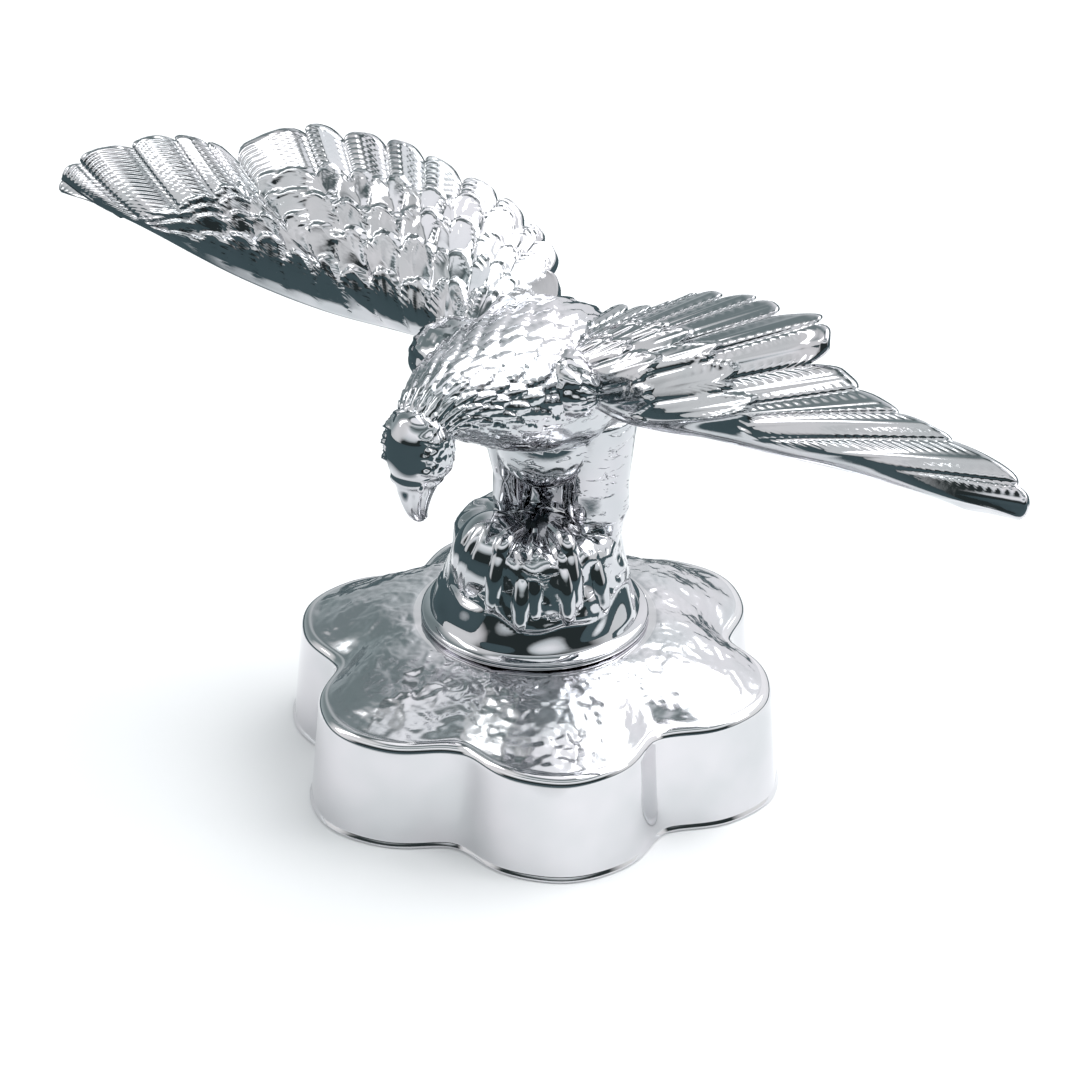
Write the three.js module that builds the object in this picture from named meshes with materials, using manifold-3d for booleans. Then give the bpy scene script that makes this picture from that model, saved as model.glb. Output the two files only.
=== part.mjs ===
// Eagle topper: an eagle cast in one with the rock it grips, seated on a six-lobed cap of a base.
// Millimetres, +Z up. The origin is the centre of the base's underside, and the eagle faces -Y.

import * as THREE from 'three';
import { mergeVertices } from 'three/addons/utils/BufferGeometryUtils.js';
import Module from 'manifold-3d';

const wasm = await Module();
wasm.setup();

// The base: a cap with lobes for the fingers, straight drafted sides and a domed, hammered top.
const BASE_RADIUS = 48;
const BASE_LOBES = 6;
const LOBE_SWELL = 4.4;
const LOBE_TURN = 15.3;
const RIM_HEIGHT = 22.9;
const SIDE_DRAFT = 2;
const RIM_ROUND = 1.7;
const FOOT_LIP = 0.5;
const DOME_RISE = 8.1;
const HAMMER_DEPTH = 0.45;

// The seat: a flat on the dome that the perch's flange rests on.
const FLANGE_RADIUS = 22.9;
const FLANGE_THICKNESS = 1.6;
const SEAT_MARGIN = 1.2;
const SEAT_GAP = 0.3;

// The figure. Its height runs from the flange's underside to the highest feather. The points of
// the pose below were chosen on a figure of POSE_HEIGHT, and they all grow with the figure.
const FIGURE_HEIGHT = 88;
const POSE_HEIGHT = 88;
const MIDDLE = 2.5;

// The wings: a thick rounded bone along the leading edge and thin feather ends behind.
const WING_BONE = 5.2;
const WING_EDGE = 1.5;
const FEATHER_RELIEF = 0.55;
const PRIMARIES = 5;
const FEATHERS = 15;
const COLUMNS_PER_FEATHER = 4;
const SECONDARY_SCALLOP = 3;
const PRIMARY_SCALLOP = 1.7;
const NOTCH = 2;
const FAN = 3.2;
const FULL_FEATHER = 4.5;

// Finishes.
const CHROME = { color: 0xc9cdd1, roughness: 0.07, metalness: 1 };
const CHROME_BASE = { color: 0xcfd2d6, roughness: 0.06, metalness: 1 };

const POSE = FIGURE_HEIGHT / POSE_HEIGHT;
const at = (x, y, z) => new THREE.Vector3(x, y, z).multiplyScalar(POSE);
const SEAT_HEIGHT = RIM_HEIGHT + DOME_RISE;
const TAU = Math.PI * 2;

// Helpers for closed bodies.

/** A closed body through loops of points, one after the other, with both end loops filled in. */
function loft(loops) {
  const around = loops[0].length;
  const points = loops.flat();
  const index = [];
  for (let i = 0; i + 1 < loops.length; i += 1) {
    for (let j = 0; j < around; j += 1) {
      const a = i * around + j;
      const b = i * around + ((j + 1) % around);
      index.push(a, b, a + around, b, b + around, a + around);
    }
  }
  for (const [start, turn] of [[0, 1], [(loops.length - 1) * around, -1]]) {
    const middle = new THREE.Vector3();
    for (let j = 0; j < around; j += 1) middle.addScaledVector(points[start + j], 1 / around);
    const hub = points.push(middle) - 1;
    for (let j = 0; j < around; j += 1) {
      const a = start + j;
      const b = start + ((j + 1) % around);
      if (turn > 0) index.push(hub, b, a);
      else index.push(hub, a, b);
    }
  }
  const geometry = new THREE.BufferGeometry().setFromPoints(points);
  geometry.setIndex(index);
  return facingOut(geometry);
}

/** The same body with its faces pointing out. */
function facingOut(geometry) {
  const position = geometry.getAttribute('position');
  const index = geometry.getIndex().array;
  const [a, b, c] = [new THREE.Vector3(), new THREE.Vector3(), new THREE.Vector3()];
  let volume = 0;
  for (let i = 0; i < index.length; i += 3) {
    a.fromBufferAttribute(position, index[i]);
    b.fromBufferAttribute(position, index[i + 1]);
    c.fromBufferAttribute(position, index[i + 2]);
    volume += a.dot(b.cross(c));
  }
  if (volume < 0) {
    for (let i = 0; i < index.length; i += 3) [index[i + 1], index[i + 2]] = [index[i + 2], index[i + 1]];
  }
  return geometry;
}

function toSolid(geometry) {
  const bare = geometry.clone();
  bare.deleteAttribute('normal');
  bare.deleteAttribute('uv');
  const merged = mergeVertices(bare, 1e-4);
  return new wasm.Manifold(new wasm.Mesh({
    numProp: 3,
    vertProperties: new Float32Array(merged.getAttribute('position').array),
    triVerts: new Uint32Array(merged.getIndex().array),
  }));
}

function toGeometry(solid) {
  const mesh = solid.getMesh();
  const geometry = new THREE.BufferGeometry();
  geometry.setAttribute('position', new THREE.BufferAttribute(mesh.vertProperties, 3));
  geometry.setIndex(new THREE.BufferAttribute(mesh.triVerts, 1));
  return geometry;
}

function joinAll(geometries) {
  return geometries.map(toSolid).reduce((whole, next) => whole.add(next));
}

/** An egg of the given half-widths in the pose's sizes, turned about X by tilt degrees. */
function egg(place, halfX, halfY, halfZ, tilt = 0, sides = 12, bands = 8) {
  const geometry = new THREE.SphereGeometry(1, sides, bands);
  geometry.scale(halfX * POSE, halfY * POSE, halfZ * POSE);
  geometry.rotateX(THREE.MathUtils.degToRad(tilt));
  geometry.translate(place.x, place.y, place.z);
  return geometry;
}

/** Distance from the middle of a repeat: 1 on its edges, 0 in the middle. */
function offMiddle(value) {
  return Math.abs(2 * (value - Math.floor(value)) - 1);
}

/** Shingled scales: each rises towards its rounded end and then drops to the next. */
function scales(along, around) {
  const row = Math.floor(along);
  const side = offMiddle(around + 0.5 * (row % 2));
  const reach = along - row + 0.3 * side * side;
  return reach < 1 ? reach - 0.5 * side * side : 0;
}

// The base.

/** How far the lobed outline stands out of its mean circle at an angle, as a share of the swell. */
function lobeShape(angle) {
  const turn = BASE_LOBES * (angle - THREE.MathUtils.degToRad(LOBE_TURN));
  return Math.cos(turn) - 0.18 * Math.cos(2 * turn) + 0.064 * Math.cos(3 * turn);
}

/** A soft, uneven ripple between -1 and 1 for the hammered top. */
function hammered(x, y) {
  return Math.sin(x * 0.61 + 1.3 * Math.sin(y * 0.23)) * Math.sin(y * 0.57 + 1.1 * Math.sin(x * 0.19));
}

function lobedBase() {
  const sides = BASE_LOBES * 12;
  const seatRadius = FLANGE_RADIUS + SEAT_MARGIN;
  const rimRadius = BASE_RADIUS - SIDE_DRAFT;
  const ring = (radius, swell, height, hammer = 0) => {
    const loop = [];
    for (let i = 0; i < sides; i += 1) {
      const angle = (i / sides) * TAU;
      const reach = radius + swell * lobeShape(angle);
      const x = reach * Math.cos(angle);
      const y = reach * Math.sin(angle);
      loop.push(new THREE.Vector3(x, y, height + hammer * hammered(x, y)));
    }
    return loop;
  };
  const loops = [
    ring(BASE_RADIUS, LOBE_SWELL, 0),
    ring(BASE_RADIUS, LOBE_SWELL, FOOT_LIP),
    ring(BASE_RADIUS - FOOT_LIP / 2, LOBE_SWELL, FOOT_LIP * 2.5),
    ring(rimRadius, LOBE_SWELL, RIM_HEIGHT - RIM_ROUND),
  ];
  for (const turn of [30, 60, 90]) {
    const bend = THREE.MathUtils.degToRad(turn);
    loops.push(ring(
      rimRadius - RIM_ROUND * (1 - Math.cos(bend)),
      LOBE_SWELL,
      RIM_HEIGHT - RIM_ROUND * (1 - Math.sin(bend)),
    ));
  }
  const domeBands = 5;
  for (let i = 1; i <= domeBands; i += 1) {
    const inward = i / domeBands;
    const radius = THREE.MathUtils.lerp(rimRadius - RIM_ROUND, seatRadius, inward);
    const rise = DOME_RISE * Math.sin(inward * Math.PI / 2) ** 1.15;
    const swell = LOBE_SWELL * (1 - inward) ** 1.2;
    const hammer = i < domeBands ? HAMMER_DEPTH : 0;
    loops.push(ring(radius, swell, RIM_HEIGHT + rise, hammer));
  }
  return loft(loops);
}

// The perch: a rock with a polished cove and a thin flange, and a boulder on its front.

const ROCK_TOP = 21;

/** The rock's radius at a height over the flange's underside. */
function rockRadius(height) {
  const share = THREE.MathUtils.clamp(height / (ROCK_TOP * POSE), 0, 1);
  return FLANGE_RADIUS * (0.955 - 0.26 * share - 0.04 * Math.sin(share * Math.PI));
}

function rock() {
  const sides = 36;
  const heights = [FLANGE_THICKNESS * 1.5, 5, 9, 13, 17.5];
  const ring = (radius, height, rough) => {
    const loop = [];
    for (let i = 0; i < sides; i += 1) {
      const angle = (i / sides) * TAU;
      const crag = Math.sin(angle * 7 + height * 0.4) + 0.6 * Math.sin(angle * 11 - height * 0.7);
      const reach = radius + rough * crag;
      loop.push(new THREE.Vector3(reach * Math.cos(angle), reach * Math.sin(angle), height));
    }
    return loop;
  };
  return loft([
    ring(FLANGE_RADIUS, 0, 0),
    ring(FLANGE_RADIUS, FLANGE_THICKNESS * 0.8, 0),
    ring(FLANGE_RADIUS - 0.7, FLANGE_THICKNESS, 0),
    ...heights.map((height, i) => ring(rockRadius(height * POSE), height * POSE, 0.08 * i * POSE)),
    ring(rockRadius(ROCK_TOP * POSE) * 0.9, ROCK_TOP * POSE, 0.3 * POSE),
    ring(rockRadius(ROCK_TOP * POSE) * 0.6, (ROCK_TOP + 2) * POSE, 0),
  ]);
}

function boulder() {
  const angle = THREE.MathUtils.degToRad(-104);
  const reach = FLANGE_RADIUS * 0.4;
  const place = new THREE.Vector3(reach * Math.cos(angle), reach * Math.sin(angle), 14 * POSE);
  return egg(place, 8.2, 7.6, 11.5, 8, 16, 9);
}

// The feet: toes hang over the rock's edge, each as a row of knuckles ending in a claw.

const TOE_ANGLES = [-8, -22, -36, -50, -64, -78];
const TOE_RADIUS = 1.75;

function toe(degrees) {
  const angle = THREE.MathUtils.degToRad(degrees);
  const outward = new THREE.Vector3(Math.cos(angle), Math.sin(angle), 0);
  const sideways = new THREE.Vector3(-Math.sin(angle), Math.cos(angle), 0);
  const path = [[0.5, 22.5, 0.9], [0.75, 22.5, 1.15], [0.93, 19.5, 1.1], [0.985, 16, 1.2], [1, 12.5, 1],
    [1, 9.5, 0.85], [0.995, 7.4, 0.25]];
  const loops = path.map(([share, height, girth]) => {
    const lift = height * POSE;
    const middle = outward.clone().multiplyScalar(rockRadius(lift) * share).setZ(lift);
    const loop = [];
    for (let i = 0; i < 8; i += 1) {
      const turn = (i / 8) * TAU;
      const girthHere = TOE_RADIUS * POSE * girth;
      const steep = share < 0.9 ? 0 : 1;
      loop.push(middle.clone()
        .addScaledVector(sideways, girthHere * Math.cos(turn) * 0.9)
        .addScaledVector(outward, girthHere * Math.sin(turn) * steep)
        .add(new THREE.Vector3(0, 0, girthHere * Math.sin(turn) * (1 - steep))));
    }
    return loop;
  });
  return loft(loops);
}

// The body: rings from inside the head, over the neck and shoulders, down to the tail.

/** A closed body of oval rings along a bent middle line in the plane x = MIDDLE. */
function ovalBody(stations, sides, steps, carve) {
  const line = new THREE.CatmullRomCurve3(stations.map(([y, z]) => at(MIDDLE, y, z)));
  const girth = new THREE.CatmullRomCurve3(stations.map(([, , wide, deep]) => at(wide, deep, 0)));
  const across = new THREE.Vector3(1, 0, 0);
  const loops = [];
  for (let i = 0; i <= steps; i += 1) {
    const t = i / steps;
    const middle = line.getPoint(t);
    const half = girth.getPoint(t);
    const out = line.getTangent(t).cross(across).normalize();
    const loop = [];
    for (let j = 0; j < sides; j += 1) {
      const turn = (j / sides) * TAU;
      const carved = carve(t, j / sides) * POSE;
      loop.push(middle.clone()
        .addScaledVector(across, (half.x + carved) * Math.sin(turn))
        .addScaledVector(out, (half.y + carved) * Math.cos(turn)));
    }
    loops.push(loop);
  }
  return loft(loops);
}

const BODY = [
  [-39.5, 58, 4.4, 4.4],
  [-37, 62, 6.2, 5.8],
  [-32, 63, 8.6, 7.4],
  [-25, 61.5, 11.6, 9.4],
  [-17, 59.5, 14, 12],
  [-8, 57, 15.4, 14],
  [1, 54.5, 15.6, 15],
  [8.5, 48.5, 13.8, 14],
  [12, 39.5, 10.4, 10.5],
  [13, 28, 7, 6.5],
];

function body() {
  const plumage = (t, around) => {
    const back = 0.5 - 0.5 * Math.cos(around * TAU);
    const fade = THREE.MathUtils.smoothstep(t, 0.08, 0.2) * (1 - THREE.MathUtils.smoothstep(t, 0.75, 0.9));
    return 1.8 * FEATHER_RELIEF * fade * (0.25 + 0.75 * back) * scales(t * 7, around * 8);
  };
  return ovalBody(BODY, 32, 28, plumage);
}

const HEAD = [
  [-40.5, 64.6, 1.5, 1.5],
  [-40.8, 63.2, 4.4, 4.2],
  [-41, 60, 6.1, 6],
  [-41, 56, 6.3, 6.3],
  [-41, 52.5, 5.5, 6],
  [-41.4, 49.8, 4.1, 4.9],
  [-41.6, 47, 3.1, 3.9],
  [-41.2, 44.3, 2.2, 2.8],
  [-40.2, 42, 1.3, 1.7],
  [-39, 40.6, 0.6, 0.7],
];

function head() {
  return ovalBody(HEAD, 14, 14, () => 0);
}

function headTrim() {
  const parts = [];
  for (const side of [-1, 1]) {
    parts.push(egg(at(MIDDLE + side * 4.6, -43.4, 56.4), 1.8, 1.3, 3.6, 14, 8, 5));
    parts.push(egg(at(MIDDLE + side * 5.7, -41.6, 54.8), 1, 1.5, 1.5, 0, 8, 5));
  }
  return parts;
}

// The legs: a feathered thigh on each side that runs down into the rock, and the belly behind them.

const LEGS = [
  { x: -6.3, y: 0.5, wide: 3.5, deep: 4.5, flare: 1.9 },
  { x: 10.2, y: 6.5, wide: 6, deep: 7, flare: 1.25 },
];

function leg({ x, y, wide, deep, flare }) {
  const sides = 16;
  const stations = [[47, flare], [39, 0.5 + 0.5 * flare], [31, 1], [25, 1], [22, 0.85], [15, 0.7]];
  const loops = stations.map(([height, share], row) => {
    const loop = [];
    for (let i = 0; i < sides; i += 1) {
      const turn = (i / sides) * TAU;
      const tuft = 1 + 0.06 * Math.cos(i * Math.PI + row);
      loop.push(at(
        x + wide * share * tuft * Math.cos(turn),
        y + deep * share * tuft * Math.sin(turn),
        height,
      ));
    }
    return loop;
  });
  return loft(loops);
}

function underbelly() {
  return egg(at(MIDDLE, 8, 34), 11.5, 6, 16);
}

// The tail: a fan of straight feathers pressed down behind the rock.

const TAIL_FEATHERS = 7;

function tail() {
  const columns = TAIL_FEATHERS * COLUMNS_PER_FEATHER;
  const rows = 4;
  const thickness = 3.4;
  const loops = [];
  for (let i = 0; i <= columns; i += 1) {
    const spread = (i / columns) * 2 - 1;
    const vane = offMiddle((i / columns) * TAIL_FEATHERS);
    const loop = [];
    for (const side of [1, -1]) {
      for (let j = 0; j <= rows; j += 1) {
        const down = side > 0 ? j / rows : 1 - j / rows;
        const reach = down * (1 - 0.05 * vane ** 3);
        const half = 5.5 + 2.5 * reach;
        const bulge = (1 - spread * spread) * 3.2;
        const ridge = side * (0.5 * thickness - 0.9 * vane * FEATHER_RELIEF);
        loop.push(at(
          MIDDLE + half * spread,
          11.5 + 5 * reach ** 1.4 + bulge + ridge,
          34 - 29 * reach - 1.2 * spread * spread * reach,
        ));
      }
    }
    loops.push(loop);
  }
  return loft(loops);
}

// The wings: every feather has a line from the leading edge to its tip. The columns of a wing run
// along those lines, and rows of rounded coverts lie over the flight feathers like shingles.

const FAR_WING = {
  leading: [[-8, -10, 61], [-26, -8, 58.2], [-46, -9.5, 57.3], [-66, -11, 58.8], [-85, -10.7, 61.4],
    [-104, -10.4, 64]],
  tips: [[-2, 9, 60], [-5, 14, 69.7], [-10, 17, 73.7], [-15, 17, 76.7], [-22, 17, 80.7], [-30, 15, 83.2],
    [-39, 14, 85.9], [-48, 12.6, 86.9], [-57, 10, 86.6], [-65, 7.2, 86.9], [-79, 0.8, 79.6],
    [-84, -0.3, 80.2], [-92, -1.5, 79.4], [-101, -4.5, 76], [-112, -8, 70.3], [-115, -11.2, 63.4]],
};

const NEAR_WING = {
  leading: [[8, -8, 60], [27, -7.5, 55.9], [46, -8, 59.2], [66, -8.5, 61.8], [85, -9, 64.3],
    [105, -9.5, 65.6]],
  tips: [[5, 9, 58], [9, 12, 66.7], [15, 11.5, 69.2], [21, 11, 71.7], [26, 11.5, 74.7], [31, 12, 77.7],
    [38, 11, 79.7], [46, 11, 81.7], [53, 8.3, 82], [64, 7.2, 84.3], [68, 3, 79], [77, 0, 77],
    [88, -2.5, 76.4], [101, -4, 75.7], [117.5, -7, 73], [119.6, -9, 67.1]],
};

const COVERT_ROWS = [0.2, 0.38, 0.58];
const COVERT_STEP = 0.012;

/** Where a row of coverts ends along the chord. The rows draw in towards the wing's tip. */
function covertEnd(row, feather) {
  const side = offMiddle(feather + 0.5 * (row % 2));
  const drawnIn = 1 - 0.8 * THREE.MathUtils.smoothstep(feather / FEATHERS, 0.7, 1);
  return (COVERT_ROWS[row] - 0.06 * side * side) * drawnIn;
}

/** Chordwise places on the upper side, with a pair of rows on each side of every covert edge. */
function chordRows(feather) {
  const rows = [0.02];
  COVERT_ROWS.forEach((edge, row) => {
    const end = covertEnd(row, feather);
    rows.push(end - COVERT_STEP, end + COVERT_STEP);
  });
  rows.push(0.76, 1);
  return rows;
}

/** Height of the carving on the upper side at a feather coordinate and a place along the chord. */
function plume(feather, chord) {
  let start = 0;
  for (let row = 0; row < COVERT_ROWS.length; row += 1) {
    const side = offMiddle(feather + 0.5 * (row % 2));
    const end = covertEnd(row, feather);
    if (chord < end) {
      return 0.3 + 0.9 * (chord - start) / (end - start) - 0.9 * side * side;
    }
    start = end;
  }
  const vane = offMiddle(feather);
  return 0.45 - 1.1 * vane ** 2 * THREE.MathUtils.smoothstep(chord, 0.5, 0.7) - 0.15;
}

function wing({ leading, tips }) {
  const front = new THREE.CatmullRomCurve3(leading.map((point) => at(...point)));
  const back = new THREE.CatmullRomCurve3(tips.map((point) => at(...point)));
  const columns = FEATHERS * COLUMNS_PER_FEATHER;
  const dorsal = new THREE.Vector3(0, -1, 1);
  const lineEnds = (i) => {
    const s = i / columns;
    return [front.getPoint(s ** FAN), back.getPoint(s)];
  };
  const loops = [];
  for (let i = 0; i <= columns; i += 1) {
    const s = i / columns;
    const feather = i / COLUMNS_PER_FEATHER;
    const [start, end] = lineEnds(i);
    const [before, tipBefore] = lineEnds(Math.max(i - 1, 0));
    const [after, tipAfter] = lineEnds(Math.min(i + 1, columns));
    const rootWidth = before.distanceTo(after) * COLUMNS_PER_FEATHER / 2;
    const tipWidth = tipBefore.distanceTo(tipAfter) * COLUMNS_PER_FEATHER / 2;
    const chord = end.clone().sub(start);
    const up = after.clone().sub(before).cross(chord).normalize();
    if (up.dot(dorsal) < 0) up.negate();
    const vane = offMiddle(feather);
    const primary = feather > FEATHERS - PRIMARIES;
    const notch = feather === FEATHERS - PRIMARIES ? NOTCH : 0;
    const scallop = (primary ? PRIMARY_SCALLOP : SECONDARY_SCALLOP) * vane ** 3;
    const reach = 1 - (scallop + notch) * POSE / chord.length();
    const bone = WING_BONE * (1 - 0.45 * s);
    const surface = (along, side, relief) => {
      const r = along * reach;
      const body = bone * 2.6 * Math.sqrt(r) * (1 - r) ** 1.5;
      const camber = 0.24 * r * (1 - r) * chord.length();
      const share = side > 0 ? 0.7 : -0.3;
      const lift = camber + share * body + side * 0.5 * WING_EDGE + relief;
      return start.clone().addScaledVector(chord, r).addScaledVector(up, lift);
    };
    const loop = [start.clone().addScaledVector(up, -0.1 * bone)];
    for (const r of chordRows(feather)) {
      const fade = THREE.MathUtils.smoothstep(r, 0.01, 0.12);
      const width = THREE.MathUtils.lerp(rootWidth, tipWidth, r);
      const shrink = Math.min(1, width / (FULL_FEATHER * POSE));
      loop.push(surface(r, 1, FEATHER_RELIEF * fade * shrink * plume(feather, r)));
    }
    for (const r of [1, 0.6, 0.25, 0.06]) {
      loop.push(surface(r, -1, r > 0.3 ? 0.4 * FEATHER_RELIEF * vane : 0));
    }
    loops.push(loop);
  }
  return loft(loops);
}

function shoulders() {
  return [
    egg(at(-9, -14, 60.5), 8.5, 10.5, 7.5, 25),
    egg(at(14, -9, 61.5), 6.5, 7, 6.5, 30),
  ];
}

function eagle() {
  const pieces = [
    rock(),
    boulder(),
    ...TOE_ANGLES.map(toe),
    body(),
    head(),
    ...headTrim(),
    ...LEGS.map(leg),
    underbelly(),
    tail(),
    wing(FAR_WING),
    wing(NEAR_WING),
    ...shoulders(),
  ];
  return toGeometry(joinAll(pieces));
}

// The two castings.

const topper = new THREE.Group();

const base = new THREE.Mesh(lobedBase(), new THREE.MeshStandardMaterial(CHROME_BASE));
base.name = 'lobed_base';
topper.add(base);

const figure = new THREE.Mesh(eagle(), new THREE.MeshStandardMaterial(CHROME));
figure.name = 'eagle_on_rock_perch';
figure.position.z = SEAT_HEIGHT + SEAT_GAP;
topper.add(figure);

export default topper;
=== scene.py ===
"""Eagle topper: a chromed eagle cast in one with its rock perch, on a chromed six-lobed base.

Sizes are millimetres until a mesh is made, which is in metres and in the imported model's own frame.
"""

import logging
import math
from dataclasses import dataclass
from enum import Enum
from typing import Any

import bpy
import numpy as np
from mathutils import Matrix, Vector


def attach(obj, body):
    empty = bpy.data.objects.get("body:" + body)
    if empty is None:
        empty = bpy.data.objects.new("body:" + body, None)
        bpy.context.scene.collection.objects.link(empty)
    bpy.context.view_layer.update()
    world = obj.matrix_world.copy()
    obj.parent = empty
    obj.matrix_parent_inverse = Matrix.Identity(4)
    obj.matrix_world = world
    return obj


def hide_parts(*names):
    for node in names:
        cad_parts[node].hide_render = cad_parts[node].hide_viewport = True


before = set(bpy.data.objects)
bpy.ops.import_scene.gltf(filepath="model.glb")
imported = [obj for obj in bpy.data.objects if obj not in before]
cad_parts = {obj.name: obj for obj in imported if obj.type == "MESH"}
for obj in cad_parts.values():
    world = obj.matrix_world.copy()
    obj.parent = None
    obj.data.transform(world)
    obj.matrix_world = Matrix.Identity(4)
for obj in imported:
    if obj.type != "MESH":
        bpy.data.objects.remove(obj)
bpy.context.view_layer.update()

log = logging.getLogger("eagle_topper")

MILLIMETRE = 0.001
TAU = 2 * math.pi

# The stack: the figure's flange rests this high on the base's seat.
RIM_HEIGHT = 22.9
DOME_RISE = 8.1
SEAT_GAP = 0.3
SEAT_HEIGHT = RIM_HEIGHT + DOME_RISE
FIGURE_FOOT = SEAT_HEIGHT + SEAT_GAP
FLANGE_RADIUS = 22.9

# The eagle's plane of symmetry, in x.
MIDDLE = 2.5

# A ball's rings stop this angle short of its poles, which are then filled in.
POLE_GAP = 0.04


class Surface(Enum):
    """How a stretch of the casting was finished before plating. The value is its material index."""

    PLUMAGE = 0
    POLISHED = 1
    CHASED = 2


class Coverts(Enum):
    """Which way a wing's small feathers point."""

    FROM_THE_EDGE = "across the wing, away from its leading edge"
    ALONG_THE_FEATHERS = "with the flight feathers"


# Numbers in arrays.


def smoothstep(value: np.ndarray, low: float, high: float) -> np.ndarray:
    """A soft rise from 0 at low to 1 at high.

    Args:
        value: The numbers to ease.
        low: Where the rise starts.
        high: Where the rise ends.

    Returns:
        The eased share of each number.
    """
    share = np.clip((value - low) / (high - low), 0.0, 1.0)
    return share * share * (3 - 2 * share)


def scatter(first: np.ndarray, second: np.ndarray, salt: float) -> np.ndarray:
    """An uneven but repeatable number between -1 and 1 for a pair of whole numbers.

    Args:
        first: One whole number of each pair.
        second: The other whole number.
        salt: Tells two uses on the same pairs apart.

    Returns:
        One number for each pair.
    """
    wave = np.sin(first * 127.1 + second * 311.7 + salt * 74.7) * 43758.5453
    return 2 * (wave - np.floor(wave)) - 1


def along_curve(points: list[tuple[float, ...]], share: np.ndarray) -> np.ndarray:
    """Places on a smooth centripetal curve through points.

    Args:
        points: The points that the curve passes through.
        share: Where on the curve, from 0 at the first point to 1 at the last.

    Returns:
        One place for each share.
    """
    knots = np.asarray(points, dtype=float)
    last = len(knots) - 1
    step = np.clip(share, 0.0, 1.0) * last
    index = np.minimum(np.floor(step).astype(int), last - 1)
    part = (step - index)[..., None]
    row = np.vstack([2 * knots[0] - knots[1], knots, 2 * knots[-1] - knots[-2]])
    p0, p1, p2, p3 = row[index], row[index + 1], row[index + 2], row[index + 3]

    def gap(a: np.ndarray, b: np.ndarray) -> np.ndarray:
        """The curve's own spacing between two points."""
        return np.maximum(((a - b) ** 2).sum(-1, keepdims=True) ** 0.25, 1e-4)

    d0, d1, d2 = gap(p0, p1), gap(p1, p2), gap(p2, p3)
    m1 = d1 * ((p1 - p0) / d0 - (p2 - p0) / (d0 + d1) + (p2 - p1) / d1)
    m2 = d1 * ((p2 - p1) / d1 - (p3 - p1) / (d1 + d2) + (p3 - p2) / d2)
    cubic = 2 * p1 - 2 * p2 + m1 + m2
    square = -3 * p1 + 3 * p2 - 2 * m1 - m2
    return ((cubic * part + square) * part + m1) * part + p1


def unit(vectors: np.ndarray) -> np.ndarray:
    """The same directions with length one."""
    return vectors / np.maximum(np.linalg.norm(vectors, axis=-1, keepdims=True), 1e-9)


def circle(count: int) -> np.ndarray:
    """Even angles round a circle, as one row."""
    return (np.arange(count) / count * TAU)[None, :]


def bell(value: np.ndarray, width: float) -> np.ndarray:
    """A soft bump: 1 at zero, nearly 0 two widths away."""
    return np.exp(-((value / width) ** 2))


# Closed shells.


@dataclass
class Shell:
    """A closed surface in millimetres: its points, its faces and the finish of each face."""

    name: str
    points: np.ndarray
    faces: list[tuple[int, ...]]
    finish: np.ndarray

    def lifted(self, height: float) -> "Shell":
        """The same shell, raised by a height."""
        self.points = self.points + np.array([0.0, 0.0, height])
        return self

    def to_object(self, materials: list[bpy.types.Material]) -> bpy.types.Object:
        """Makes the shell a mesh object in metres.

        Args:
            materials: The finishes, in the order of Surface.

        Returns:
            The new object, linked to the scene.
        """
        mesh = bpy.data.meshes.new(self.name)
        mesh.from_pydata((self.points * MILLIMETRE).tolist(), [], self.faces)
        mesh.polygons.foreach_set("material_index", self.finish.astype(np.int32))
        mesh.polygons.foreach_set("use_smooth", np.ones(len(self.faces), dtype=bool))
        for material in materials:
            mesh.materials.append(material)
        mesh.update()
        piece = bpy.data.objects.new(self.name, mesh)
        bpy.context.collection.objects.link(piece)
        return piece


def loft(name: str, loops: np.ndarray, surface: Surface | np.ndarray = Surface.PLUMAGE) -> Shell:
    """A closed shell through loops of points, with both end loops filled in.

    Args:
        name: The shell's name.
        loops: The points, one row for each loop.
        surface: The finish, or finish indices: one for each loop but the last, or one for each face.

    Returns:
        The shell, with its faces pointing out.
    """
    rows, around, _ = loops.shape
    points = loops.reshape(-1, 3)
    start = np.arange(rows - 1)[:, None] * around + np.arange(around)[None, :]
    beside = np.arange(rows - 1)[:, None] * around + (np.arange(around)[None, :] + 1) % around
    quads = np.stack([start, beside, beside + around, start + around], -1).reshape(-1, 4)
    volume = np.einsum(
        "ij,ij->",
        points[quads[:, 0]] - points.mean(0),
        np.cross(points[quads[:, 1]] - points.mean(0), points[quads[:, 2]] - points.mean(0)),
    )
    hubs = np.vstack([loops[0].mean(0), loops[-1].mean(0)])
    ring = np.arange(around)
    following = (ring + 1) % around
    first = np.stack([np.full(around, rows * around), following, ring], -1)
    end = (rows - 1) * around
    last = np.stack([np.full(around, rows * around + 1), end + ring, end + following], -1)
    if isinstance(surface, Surface):
        surface = np.full(rows - 1, surface.value)
    if surface.ndim == 1:
        surface = np.repeat(surface[:, None], around, axis=1)
    finish = np.concatenate([surface.ravel(), surface[0], surface[-1]])
    faces = [*map(tuple, quads.tolist()), *map(tuple, first.tolist()), *map(tuple, last.tolist())]
    if volume < 0:
        faces = [face[::-1] for face in faces]
    return Shell(name, np.vstack([points, hubs]), faces, finish)


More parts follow.
